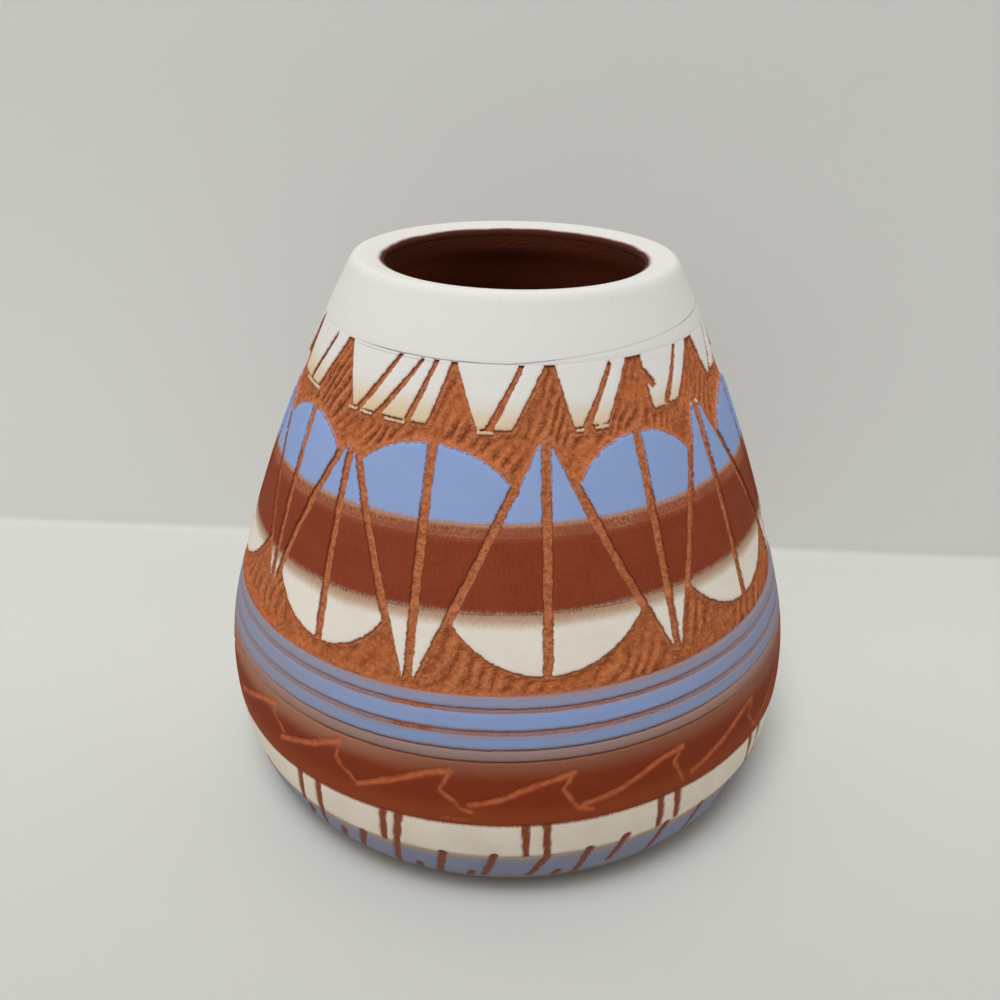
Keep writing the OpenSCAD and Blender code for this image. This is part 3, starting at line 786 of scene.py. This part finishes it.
class Wire:
    # a node's output in its tree: sums, products and the like of it are Math nodes
    def __init__(self, tree, socket):
        self.tree, self.socket = tree, socket

    def math(self, operation, first, second=0.0):
        return put(self.tree, "Math", {0: first, 1: second}, operation=operation)

    def __add__(self, other):
        return self.math("ADD", self, other)

    def __sub__(self, other):
        return self.math("SUBTRACT", self, other)

    def __rsub__(self, other):
        return self.math("SUBTRACT", other, self)

    def __mul__(self, other):
        return self.math("MULTIPLY", self, other)

    def __truediv__(self, other):
        return self.math("DIVIDE", self, other)

    def __abs__(self):
        return self.math("ABSOLUTE", self)


def put(tree, kind, inputs, output=0, **settings):
    # a shader node with its settings and its sockets' values or links; one of its outputs comes back as a wire
    made = tree.nodes.new("ShaderNode" + kind)
    for key, value in settings.items():
        setattr(made, key, value)
    for key, value in inputs.items():
        if isinstance(value, Wire):
            tree.links.new(value.socket, made.inputs[key])
        else:
            made.inputs[key].default_value = value
    return Wire(tree, made.outputs[output])


def objectPlace(tree):
    return put(tree, "TexCoord", {}, "Object")


def axisOf(place, axis):
    return put(place.tree, "SeparateXYZ", {0: place}, axis)


def readMark(tree, name):
    return put(tree, "Attribute", {}, "Fac", attribute_name=name)


def larger(first, second):
    return first.math("MAXIMUM", first, second)


def blend(share, first, second, kind="MIX"):
    return put(share.tree, "Mix", {0: share, 6: first, 7: second}, 2, data_type="RGBA", blend_type=kind)


def remap(value, fromMin, fromMax, toMin=0.0, toMax=1.0):
    # a smooth S from one span to another
    inputs = {"Value": value, "From Min": fromMin, "From Max": fromMax, "To Min": toMin, "To Max": toMax}
    return put(value.tree, "MapRange", inputs, "Result", interpolation_type="SMOOTHSTEP")


def noise(place, scale, detail, rough, stretch=None):
    # noise in cells per metre, drawn out along an axis by stretch
    if stretch:
        place = put(place.tree, "VectorMath", {0: place, 1: stretch}, operation="MULTIPLY")
    inputs = {"Vector": place, "Scale": scale, "Detail": detail, "Roughness": rough}
    return put(place.tree, "TexNoise", inputs, "Fac")


def layCoats(shade, coats):
    # each colour is laid over those before it by its share
    for share, colour in coats:
        shade = blend(share, shade, colours[colour] if isinstance(colour, str) else colour)
    return shade


def makeGroup(name, inputs, build):
    # a node group: a socket for each input's value, the nodes, and a socket for each wire that build gives back
    tree = bpy.data.node_groups.new(name, "ShaderNodeTree")
    kinds = {True: "NodeSocketColor", False: "NodeSocketFloat"}
    for key, value in inputs.items():
        kind = kinds[isinstance(value, tuple)]
        tree.interface.new_socket(key, in_out="INPUT", socket_type=kind).default_value = value
    given = tree.nodes.new("NodeGroupInput").outputs
    made = build(tree, {key: Wire(tree, given[key]) for key in inputs})
    for key, wire in made.items():
        tree.interface.new_socket(key, in_out="OUTPUT", socket_type=kinds[wire.socket.type == "RGBA"])
    out = tree.nodes.new("NodeGroupOutput").inputs
    for key, wire in made.items():
        tree.links.new(wire.socket, out[key])
    return tree


def grainNodes(tree, given):
    # slip's grain: soft mottling, fine specks and the relief of a dry matte coat
    place = objectPlace(tree)
    mottle = noise(place, given["Mottle"], 4, 0.6)
    speck = remap(noise(place, 1500.0, 1, 0.5), 0.69, 0.76)
    return {"Mottle": mottle, "Speck": speck, "Relief": noise(place, given["Fine"], 3, 0.65) + mottle * 0.6}


def ringNodes(tree, given):
    # height in mm up the leaning rings, upright brush streaks and slow wander from -0.5 to 0.5, and 1 at the
    # sides, where a painted sheen lightens and greys the slips
    place = objectPlace(tree)
    across = axisOf(place, 0)
    streak = noise(place, 4200.0, 3, 0.6, (1.0, 1.0, 0.05)) * 0.65 + noise(place, 5200.0, 2, 0.6) * 0.35
    return {"Height": (axisOf(place, 2) - across * given["Lean"]) * (1 / mm), "Streak": streak - 0.5,
            "Wander": noise(place, 60.0, 3, 0.55) - 0.5,
            "Side": larger(remap(across, -0.012, -0.042), remap(across, 0.012, 0.05))}


def brushedNodes(tree, given):
    # 0 below a height and 1 above it, feathered by the brush's streaks
    off = given["Height"] - given["At"] + given["Streak"] * given["Streaky"]
    off = off + given["Wander"] * given["Wandering"]
    return {"Above": remap(off / given["Soft"] + 0.5, 0.0, 1.0)}


def lineNodes(tree, given):
    # 1 on a thin turned line at a height, 0 beside it
    off = given["Height"] - given["At"] + given["Wander"] * given["Wandering"]
    return {"Mask": remap(abs(off) / given["Half"], 1.5, 0.5)}


def cutNodes(tree, given):
    # painted shade: darker clay on the steep walls of a cut; painted highlight: lighter clay on its sloping bevels;
    # and a line of another colour along the slip's edge beside it
    crumbs = noise(objectPlace(tree), 1800.0, 3, 0.6)
    fade = larger(1.0 - readMark(tree, "edgeGap") / given["Rub Width"], 0.0)
    coat = blend(fade * given["Rub"] * remap(crumbs, 0.35, 0.6), given["Slip"], given["Rubbed"])
    ground = blend(remap(readMark(tree, "bevel"), 0.2, 0.4), given["Clay"], given["Bevel"])
    return {"Color": blend(remap(readMark(tree, "wallShare") + crumbs * 0.3, 0.2, 0.42), coat, ground)}


def pencilNodes(tree, given):
    # a thin ring drawn round the neck: level on the left and rising to the right, firm in front on the left,
    # and there parted into two
    place = objectPlace(tree)
    across = axisOf(place, 0)
    rise = larger(across + 0.0005, 0.0) * given["Rise"]
    off = given["Height"] - given["At"] - rise + given["Wander"] * 0.12
    firm, faint = remap(abs(off), 0.12, 0.03), remap(abs(off + 0.42), 0.1, 0.02)
    pressed = remap(noise(place, 90.0, 2, 0.5), 0.36, 0.56, 0.45, 1.0)
    pressed = pressed * (remap(across, -0.0245, -0.017) * remap(across, -0.005, 0.004, 1.0, 0.72))
    second = remap(across, -0.026, -0.02) * remap(across, -0.009, -0.013, 0.0, 0.45)
    return {"Mask": larger(firm * pressed, faint * second)}


groups = {
    "grain": makeGroup("slipGrain", {"Mottle": 140.0, "Fine": 2600.0}, grainNodes),
    "ring": makeGroup("ringHeight", {"Lean": outline["lean"]}, ringNodes),
    "brushed": makeGroup("brushedEdge", {"Height": 0.0, "Streak": 0.0, "Wander": 0.0, "At": 0.0, "Soft": 0.5,
                                         "Streaky": 1.0, "Wandering": 0.6}, brushedNodes),
    "line": makeGroup("ringLine", {"Height": 0.0, "Wander": 0.0, "At": 0.0, "Half": 0.1, "Wandering": 0.3},
                      lineNodes),
    # the cut's walls take a darker clay as painted shade, its bevels a lighter one as painted highlight
    "cut": makeGroup("cutEdge", {"Slip": colours["cream"], "Clay": colours["cutClay"],
                                 "Bevel": colours["cutBevel"], "Rubbed": colours["cutRubbed"],
                                 "Rub": 0.5, "Rub Width": 0.4}, cutNodes),
    "pencil": makeGroup("pencilLine", {"Height": 0.0, "Wander": 0.0, "At": 84.27, "Rise": 76.0}, pencilNodes),
}
print("groups:", len(groups))


def useGroup(tree, key, inputs=None):
    outputs = put(tree, "Group", inputs or {}, node_tree=groups[key]).socket.node.outputs
    return {socket.name: Wire(tree, socket) for socket in outputs}


def brushedEdge(ring, at, soft, streaky, wandering):
    look = {"At": at, "Soft": soft, "Streaky": streaky, "Wandering": wandering}
    look.update({key: ring[key] for key in ("Height", "Streak", "Wander")})
    return useGroup(ring["Height"].tree, "brushed", look)["Above"]


def ringLine(ring, at, half):
    look = {"Height": ring["Height"], "Wander": ring["Wander"], "At": at, "Half": half}
    return useGroup(ring["Height"].tree, "line", look)["Mask"]


def cutEdge(shade, look):
    return useGroup(shade.tree, "cut", dict(look, Slip=shade))["Color"]


def makeFinish(name, roughness, paint, *given, bump=(0.25, 0.00012)):
    # a matte material: paint gives back its colour and its relief, which bump takes as strength and distance
    finish = bpy.data.materials.new(name)
    finish.use_nodes = True
    tree = finish.node_tree
    shader = tree.nodes["Principled BSDF"]
    shader.inputs["Roughness"].default_value = roughness
    shader.inputs["Specular IOR Level"].default_value = 0.12
    shade, relief = paint(tree, *given)
    tree.links.new(shade.socket, shader.inputs["Base Color"])
    if relief:
        normal = put(tree, "Bump", {"Strength": bump[0], "Distance": bump[1], "Height": relief})
        tree.links.new(normal.socket, shader.inputs["Normal"])
    return finish


# Brushed edges are given as height, softness, streaks and wander, all in mm
creamLook = {
    "fringeFoot": (78.4, 4.8, 0.8, 2.0),
    "fringeCut": {"Rubbed": colours["fringeRubbed"], "Rub": 0.7, "Rub Width": 0.2},
}


def creamPaint(tree, fringed):
    # matte cream slip: faint mottling and the pencil ring; the fringe turns buff at its foot and shows clay at
    # its cuts, the collar ends inside the mouth in clay painted dark as shade
    grain, ring = useGroup(tree, "grain"), useGroup(tree, "ring", {"Lean": 0.0})
    coats = [(remap(grain["Mottle"], 0.35, 0.7, 0.0, 0.5), "creamWarm"), (grain["Speck"] * 0.2, "creamSpeck")]
    if fringed:
        coats.append((1.0 - brushedEdge(ring, *creamLook["fringeFoot"]), "fringeFoot"))
    line = useGroup(tree, "pencil", {"Height": ring["Height"], "Wander": ring["Wander"]})["Mask"]
    shade = layCoats(colours["cream"], coats + [(line * 0.8, "pencil")])
    if fringed:
        return cutEdge(shade, creamLook["fringeCut"]), grain["Relief"]
    # where the cream ends inside the mouth, clay painted dark as shade shows
    worn = readMark(tree, "within") + (grain["Mottle"] - 0.5) * 0.5
    return layCoats(shade, [(remap(worn, 0.12, 0.6), "lipClay")]), grain["Relief"]


# The figures' edges are set from the red's upper and lower rings
coneLook = {
    "blueFoot": (redHigh + 0.3, 0.7, 1.6, 0.4),
    "domeRub": (75.6, 0.4, 0.5, 0.3),
    "redBrush": (redHigh - 1.35, 2.6, 2.4, 0.8),
    "redTop": (redHigh - 0.2, 0.5, 1.6, 0.4),
    "redFoot": (redLow + 0.2, 0.9, 2.2, 0.6),
    "tanTop": (redLow - 1.5, 1.7, 1.4, 0.8),
    "brownTop": (redLow - 0.55, 0.9, 2.2, 0.6),
    "creamTop": (redLow + 0.05, 0.6, 2.2, 0.6),
    "darkLine": (redHigh - 0.45, 0.3),    # height and half width
    "paleLine": (redHigh - 1.5, 0.12),
    "cut": {"Rubbed": colours["clayDark"], "Rub": 0.75, "Rub Width": 0.2},
}


def conePaint(tree, part):
    # the figures' three slips, each brushed into the next across its ring
    grain, ring = useGroup(tree, "grain"), useGroup(tree, "ring")
    brushed = lambda key, rings=ring: brushedEdge(rings, *coneLook[key])
    if part == "blue":
        level = useGroup(tree, "ring", {"Lean": 0.0})
        shade = layCoats(colours["blue"], [
            (remap(grain["Mottle"], 0.3, 0.75, 0.0, 0.3), "blueLight"),
            (1.0 - brushed("blueFoot"), "blueBrown"),
            (brushed("domeRub", level), "cream"),
        ])
    elif part == "red":
        place = objectPlace(tree)
        fine = noise(place, 3200.0, 2, 0.6, (1.0, 1.0, 0.25))
        speckle = remap(noise(place, 5200.0, 2, 0.7, (1.0, 1.0, 0.2)), 0.4, 0.64)
        broken = remap(noise(place, 110.0, 2, 0.5), 0.38, 0.6, 0.2, 0.65)
        rubbed = brushed("redBrush")
        shade = layCoats(colours["red"], [
            (remap(grain["Mottle"], 0.4, 0.65, 0.0, 0.4), "redLight"),
            (remap(fine, 0.35, 0.7, 0.0, 0.6), "redLight"),
            (rubbed * 0.8, "redBrown"),
            (ringLine(ring, *coneLook["darkLine"]) * broken, "redDark"),
            (speckle * rubbed * broken, "redBrushed"),
            (ringLine(ring, *coneLook["paleLine"]) * (broken * 0.45), "redLine"),
            (brushed("redTop"), "blueBrown"),
            (1.0 - brushed("redFoot"), "tanBrown"),
        ])
    else:
        shade = layCoats(colours["bowlCream"], [
            (remap(grain["Mottle"], 0.35, 0.7, 0.0, 0.5), "bowlDark"),
            (brushed("tanTop"), "tan"),
            (brushed("brownTop"), "tanBrown"),
            (brushed("creamTop"), "redLight"),
        ])
    return cutEdge(shade, coneLook["cut"]), grain["Relief"]


# Finish, base colour, the width and colour of rim and foot, the painted sheen at the sides, the painted shade line's
# strength
stripeLook = {
    "upperBlueStripe": ("stripeBlueUpper", "upperBlue", 0.7, "upperRim", 0.3, "upperFoot", "stripeHaze", 0.0),
    "middleBlueStripe": ("stripeBlueMiddle", "middleBlue", 0.5, "middleRim", 0.3, "middleFoot", "stripeHaze", 0.0),
    "lowerBlueStripe": ("stripeBlueLower", "lowerBlue", 0.7, "lowerRim", 0.6, "lowerFoot", "stripeHaze", 0.3),
    "greyStripe": ("stripeGrey", "grey", 0.3, "greyRim", 1.2, "greyFoot", "greyHaze", 0.2),
}
stripeCut = {"Clay": colours["mauve"], "Rubbed": colours["mauve"], "Rub": 0.3, "Rub Width": 0.15}
shadeLineHalf = 0.14    # half the width of a dark line of painted shade along a groove


def stripePaint(tree, name):
    # a turned line of slip: fine lines along it, a rim and a foot that blend into what lies beside it, a painted
    # sheen at the sides, and on some a dark line of painted shade along its lower edge
    grain, ring = useGroup(tree, "grain"), useGroup(tree, "ring")
    low, high = solidSpan(stripe["solids"][name][0])
    base, rimWide, rim, footWide, foot, haze, line = stripeLook[name][1:]
    turned = noise(objectPlace(tree), 1400.0, 3, 0.6, (0.08, 0.08, 1.0))
    shade = layCoats(colours[base], [
        (remap(turned, 0.5, 0.75, 0.0, 0.35), "mauve"),
        (brushedEdge(ring, high - rimWide / 2, rimWide, 0.6, 0.6), rim),
        (1.0 - brushedEdge(ring, low + footWide / 2, footWide, 0.6, 0.6), foot),
        # painted shade: a dark line along the groove under the stripe
        (ringLine(ring, low, shadeLineHalf) * line, "lineDark"),
    ])
    # painted sheen laid over the stripe at the sides
    return layCoats(cutEdge(shade, stripeCut), [(ring["Side"] * 0.75, haze)]), grain["Relief"]


waveLook = {
    "darkFrom": (23.2, 3.2, 0.6, 1.6),
    "top": (3.4, 0.8, 1.2),        # softness, streaks and wander, and those of the painted sheen at the left
    "haze": (3.6, 0.8, 1.2),
    "topAt": 29.6,
    "hazeFrom": (-0.004, -0.03),
    "cut": {"Clay": colours["waveTop"], "Rub": 0.0},
}


def wavePaint(tree):
    # red-brown slip, greyer where it runs into the stripe above, with a painted sheen at its upper left and the
    # zigzag scratched through it
    grain, ring, place = useGroup(tree, "grain"), useGroup(tree, "ring"), objectPlace(tree)
    # painted sheen: lighter and greyer towards the left side
    left = remap(axisOf(place, 0), *waveLook["hazeFrom"], 0.0, 0.85)
    broken = remap(noise(place, 700.0, 3, 0.6), 0.3, 0.6, 0.4, 0.9)
    topAt = waveLook["topAt"] - ring["Side"]
    shade = layCoats(colours["waveLow"], [
        (brushedEdge(ring, *waveLook["darkFrom"]), "waveDark"),
        (brushedEdge(ring, topAt, *waveLook["top"]), "waveTop"),
        (remap(noise(place, 3000.0, 2, 0.6), 0.4, 0.7, 0.0, 0.25), "redLight"),
        (brushedEdge(ring, waveLook["topAt"], *waveLook["haze"]) * left, "waveHaze"),
        (readMark(tree, "scratch") * broken, "scratched"),
    ])
    return cutEdge(shade, waveLook["cut"]), grain["Relief"]


# Base colour, the height, softness and colour of the upper and of the lower end, and the colour of the runs
runLook = {
    "bars": ("barCream", waveLow - 0.3, 0.7, "waveLow", barLow + 0.45, 1.3, "barFoot", "barRun"),
    # towards the foot's lower edge the blue turns grey-brown: painted shade near the floor
    "dashes": ("footBlue", barLow - 0.9, 2.6, "footTop", footLow + 2.4, 3.4, "footLow", "footRun"),
}


def runPaint(tree, name):
    # cream or blue slip with dark runs drawn across it
    grain, ring = useGroup(tree, "grain"), useGroup(tree, "ring")
    base, upper, upperSoft, upperColour, lower, lowerSoft, lowerColour, run = runLook[name]
    mottled = remap(grain["Mottle"], 0.35, 0.7, 0.0, 0.3)
    shade = layCoats(blend(mottled, colours[base], colours["runMottle"], "MULTIPLY"), [
        (brushedEdge(ring, upper, upperSoft, 0.7, 0.5), upperColour),
        (1.0 - brushedEdge(ring, lower, lowerSoft, 0.7, 0.5), lowerColour),
        (readMark(tree, "scratch") * 0.98, run),
    ])
    return cutEdge(shade, {"Clay": colours["waveLow"], "Rub": 0.0}), grain["Relief"]


clayLook = {
    "stripesTop": (41.0, 0.3, 0.3, 0.2),
    "lowestTop": (32.2, 0.3, 0.3, 0.2),
    "scratchedAt": (39.34, 36.08),    # painted shade: dark lines in the grooves along the foot of the two upper stripes
    # a place in front, in metres across, where the slip between the stripes is gone
    "cleanAt": -0.0135,
    "cleanOver": (0.0022, 0.0038),
    "mouthFrom": (0.076, 0.085),      # heights in metres inside the mouth
    "lipFrom": (0.0865, 0.091),
}


def clayPaint(tree):
    # bare red clay: painted shade in the tool's cuts and painted highlight on the ridges between them and on the
    # gouges' high parts, lumpy and lightened by painted light in the carved lines, grainy, mauve with rubbed slip
    # between the stripes, dark lines of painted shade in the grooves there, a painted sheen at the sides, and
    # painted shade darkening the inside of the mouth
    look, ring, place = clayLook, useGroup(tree, "ring"), objectPlace(tree)
    marks = "cutSin", "cutCos", "cutDeep", "carvedLine", "gouge", "within"
    mark = {key: readMark(tree, key) for key in marks}
    grit, lumps = noise(place, 2200.0, 3, 0.65), noise(place, 1300.0, 2, 0.6)
    off = abs(mark["cutSin"].math("ARCTAN2", mark["cutSin"], mark["cutCos"])) / math.pi + (lumps - 0.5) * 0.7
    inCut, onRidge = remap(off, 0.45, 0.05) * mark["cutDeep"], remap(off, 0.45, 0.95) * mark["cutDeep"]
    between = 1.0 - brushedEdge(ring, *look["stripesTop"])
    stain = remap(noise(place, 260.0, 3, 0.6, (0.4, 0.4, 2.0)), 0.66, 0.52, 0.5, 1.0)
    stain = stain * remap(abs(axisOf(place, 0) - look["cleanAt"]), *look["cleanOver"], 0.15, 1.0)
    # how strong the painted shade lines are, weaker at the sides; below the grey stripe the groove is grey with some
    # painted shade
    sharp = 0.85 - ring["Side"] * 0.7
    lowest = blend(sharp * 0.4, colours["greyHaze"], colours["lineDark"])
    # lumpy clay in the carved lines, lightened as painted light against the shade in the grooves
    lumpy = blend(remap(lumps, 0.36, 0.6), colours["lineLow"], colours["lineHigh"])
    tall = axisOf(place, 2)
    # painted shade: the clay inside the mouth is darker, darkest deep down and just under the lip
    inner = layCoats(colours["mouthDeep"], [
        (remap(tall, *look["mouthFrom"]), "mouthClay"), (remap(tall, *look["lipFrom"]), "lipClay")])
    shade = layCoats(colours["clay"], [
        (remap(noise(place, 220.0, 3, 0.6), 0.4, 0.7), "clayPatch"),
        (remap(lumps, 0.48, 0.34, 0.0, 0.4), "clayDark"),
        (remap(lumps, 0.52, 0.68, 0.0, 0.5), "clayLight"),
        # painted shade in the tool's cuts, painted highlight on their ridges and on the gouges' high parts
        (inCut * 0.95, "clayDark"),
        (onRidge * 0.8, "clayLight"),
        (remap(mark["gouge"], 0.35, 1.0, 0.0, 0.5), "clayLight"),
        (mark["carvedLine"] * 0.85, lumpy),
        (remap(grit, 0.56, 0.72, 0.0, 0.4), "gritLight"),
        (remap(grit, 0.43, 0.3, 0.0, 0.5), "gritDark"),
        (between * stain, "mauve"),
        # painted shade: dark lines in the grooves under the two upper stripes
        *((ringLine(ring, at, shadeLineHalf) * sharp, "lineDark") for at in look["scratchedAt"]),
        (1.0 - brushedEdge(ring, *look["lowestTop"]), lowest),
        # painted sheen over the grooves between the stripes at the sides
        (between * ring["Side"] * 0.6, "stripeHaze"),
        (mark["within"], inner),
    ])
    return shade, grit + (onRidge - inCut) * 0.5 + lumps * mark["carvedLine"] * 1.1


# Every piece, listed with its slot and finish, stands for its solid, rides with the one body and takes its finish
pieces = {
    "clay_body": (clayBody, "clay", makeFinish("bareClay", 0.85, clayPaint, bump=(0.8, 0.0004))),
    "cream_collar": (creamCollar, "cream_slip", makeFinish("collarCream", 0.85, creamPaint, False)),
    "fringe_panels": (fringePanels, "cream_slip", makeFinish("fringeCream", 0.85, creamPaint, True)),
    "blue_panels": (bluePanels, "blue_slip", makeFinish("coneBlue", 0.82, conePaint, "blue")),
    "red_panels": (redPanels, "red_slip", makeFinish("coneRed", 0.82, conePaint, "red")),
    "cream_panels": (creamPanels, "cream_slip", makeFinish("coneCream", 0.82, conePaint, "cream")),
}
for name, (node, past, seed) in stripe["solids"].items():
    slot = "grey_slip" if node == "grey_stripe" else "blue_slip"
    pieces[node] = (stripes[name], slot, makeFinish(stripeLook[name][0], 0.82, stripePaint, name))
pieces["wave_band"] = (waveBand, "red_slip", makeFinish("waveRed", 0.78, wavePaint))
pieces["bar_band"] = (barBand, "cream_slip", makeFinish("barCream", 0.8, runPaint, "bars"))
pieces["foot_band"] = (footBand, "blue_slip", makeFinish("footBlue", 0.8, runPaint, "dashes"))
for node, (piece, slot, finish) in pieces.items():
    piece.data.materials.append(finish)
    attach(piece, "root")
    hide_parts(node)
print("finishes:", len(pieces))

# Stage: a pale floor that turns up into a pale wall close behind the vase, in mm and degrees
stageSet = {"wallAt": 69.6, "wallTurn": -2.1, "cove": 2.0, "reach": 900.0}


def stagePaint(tree):
    # floor and wall each pass from one pale tone to another
    place = objectPlace(tree)
    deep, tall = axisOf(place, 1), axisOf(place, 2)
    floor = blend(remap(deep, -0.09, 0.03), colours["floorNear"], colours["floorFar"])
    wall = blend(remap(tall, 0.02, 0.14), colours["wallLow"], colours["wallHigh"])
    return blend(remap(tall, 0.0, 0.004), floor, wall), None


def makeStage(spec):
    # a profile of floor, quarter round and wall, carried along a line that is turned a little from the X axis
    bend = np.radians(np.linspace(0, 90, 9))
    cove = [spec["wallAt"] - spec["cove"] + spec["cove"] * np.sin(bend), spec["cove"] * (1 - np.cos(bend))]
    profile = np.concatenate([[[-spec["reach"], 0.0]], np.stack(cove, 1), [[spec["wallAt"], spec["reach"]]]])
    along = np.array([-spec["reach"], spec["reach"]])
    turned = math.radians(spec["wallTurn"])
    x = along[None, :] * math.cos(turned) - profile[:, :1] * math.sin(turned)
    y = along[None, :] * math.sin(turned) + profile[:, :1] * math.cos(turned)
    points = np.stack([x, y, np.broadcast_to(profile[:, 1:], x.shape)], -1).reshape(-1, 3) * mm
    grid = np.arange(len(profile) * 2).reshape(-1, 2)
    quads = np.stack([grid[:-1, 0], grid[:-1, 1], grid[1:, 1], grid[1:, 0]], -1)
    sheet = makePiece("paleStage", points, [(quads, True)], {})
    finish = makeFinish("palePaper", 0.9, stagePaint)
    tree = finish.node_tree
    paper = Wire(tree, tree.nodes["Principled BSDF"].outputs[0])
    clear = put(tree, "BsdfTransparent", {})    # seen from behind, the wall doesn't hide the vase
    mixed = put(tree, "MixShader", {0: put(tree, "NewGeometry", {}, "Backfacing"), 1: paper, 2: clear})
    tree.links.new(mixed.socket, tree.nodes["Material Output"].inputs["Surface"])
    sheet.data.materials.append(finish)


makeStage(stageSet)

# Soft studio light: an even world, two lamps high in front, and weaker broad ones at both sides
light = {
    "world": 0.228,
    "worldColour": (1.0, 0.985, 0.96, 1.0),
    "lampTo": (0, 0, 0.04),
    # place and width in metres, power in watts
    "lamps": {"highLamp": ((-0.08, -0.28, 0.8), 0.35, 2.98), "frontLamp": ((-0.1, -0.41, 0.72), 0.35, 1.93),
              "leftLamp": ((-0.62, -0.26, 0.24), 0.5, 0.8), "rightLamp": ((0.66, -0.12, 0.34), 0.6, 0.96)},
}
world = bpy.data.worlds.new("softWorld")
world.use_nodes = True
background = world.node_tree.nodes["Background"].inputs
background["Color"].default_value, background["Strength"].default_value = light["worldColour"], light["world"]
bpy.context.scene.world = world
for name, (at, width, power) in light["lamps"].items():
    lampData = bpy.data.lights.new(name, "AREA")
    lampData.shape, lampData.size, lampData.energy = "DISK", width, power
    lamp = bpy.data.objects.new(name, lampData)
    aim = Vector(at) - Vector(light["lampTo"])
    lamp.matrix_world = Matrix.Translation(at) @ aim.to_track_quat("Z", "Y").to_matrix().to_4x4()
    bpy.context.scene.collection.objects.link(lamp)
print("lamps:", len(light["lamps"]))

# Camera: where the photograph was taken from, in mm and degrees
view = {"at": (0.0, -153.99, 126.54), "yaw": -0.636, "pitch": 27.005, "roll": 0.932,
        "lens": 34.2, "sensor": 36.0, "clip": 0.005}


def aimCamera(spec):
    # turned by yaw from +Y, tipped down by pitch, then rolled about its own line of sight
    yaw, pitch, roll = (math.radians(spec[key]) for key in ("yaw", "pitch", "roll"))
    ahead = np.array([math.sin(yaw) * math.cos(pitch), math.cos(yaw) * math.cos(pitch), -math.sin(pitch)])
    right = np.array([math.cos(yaw), -math.sin(yaw), 0.0])
    above = np.cross(right, ahead)
    place = np.eye(4)
    place[:3, 0] = right * math.cos(roll) + above * math.sin(roll)
    place[:3, 1] = -right * math.sin(roll) + above * math.cos(roll)
    place[:3, 2] = -ahead
    place[:3, 3] = np.array(spec["at"]) * mm
    data = bpy.data.cameras.new("photoCamera")
    data.lens, data.sensor_width, data.clip_start = spec["lens"], spec["sensor"], spec["clip"]
    camera = bpy.data.objects.new("photoCamera", data)
    camera.matrix_world = Matrix(place.tolist())
    bpy.context.scene.collection.objects.link(camera)
    bpy.context.scene.camera = camera


aimCamera(view)
bpy.context.scene.view_settings.view_transform = "Standard"
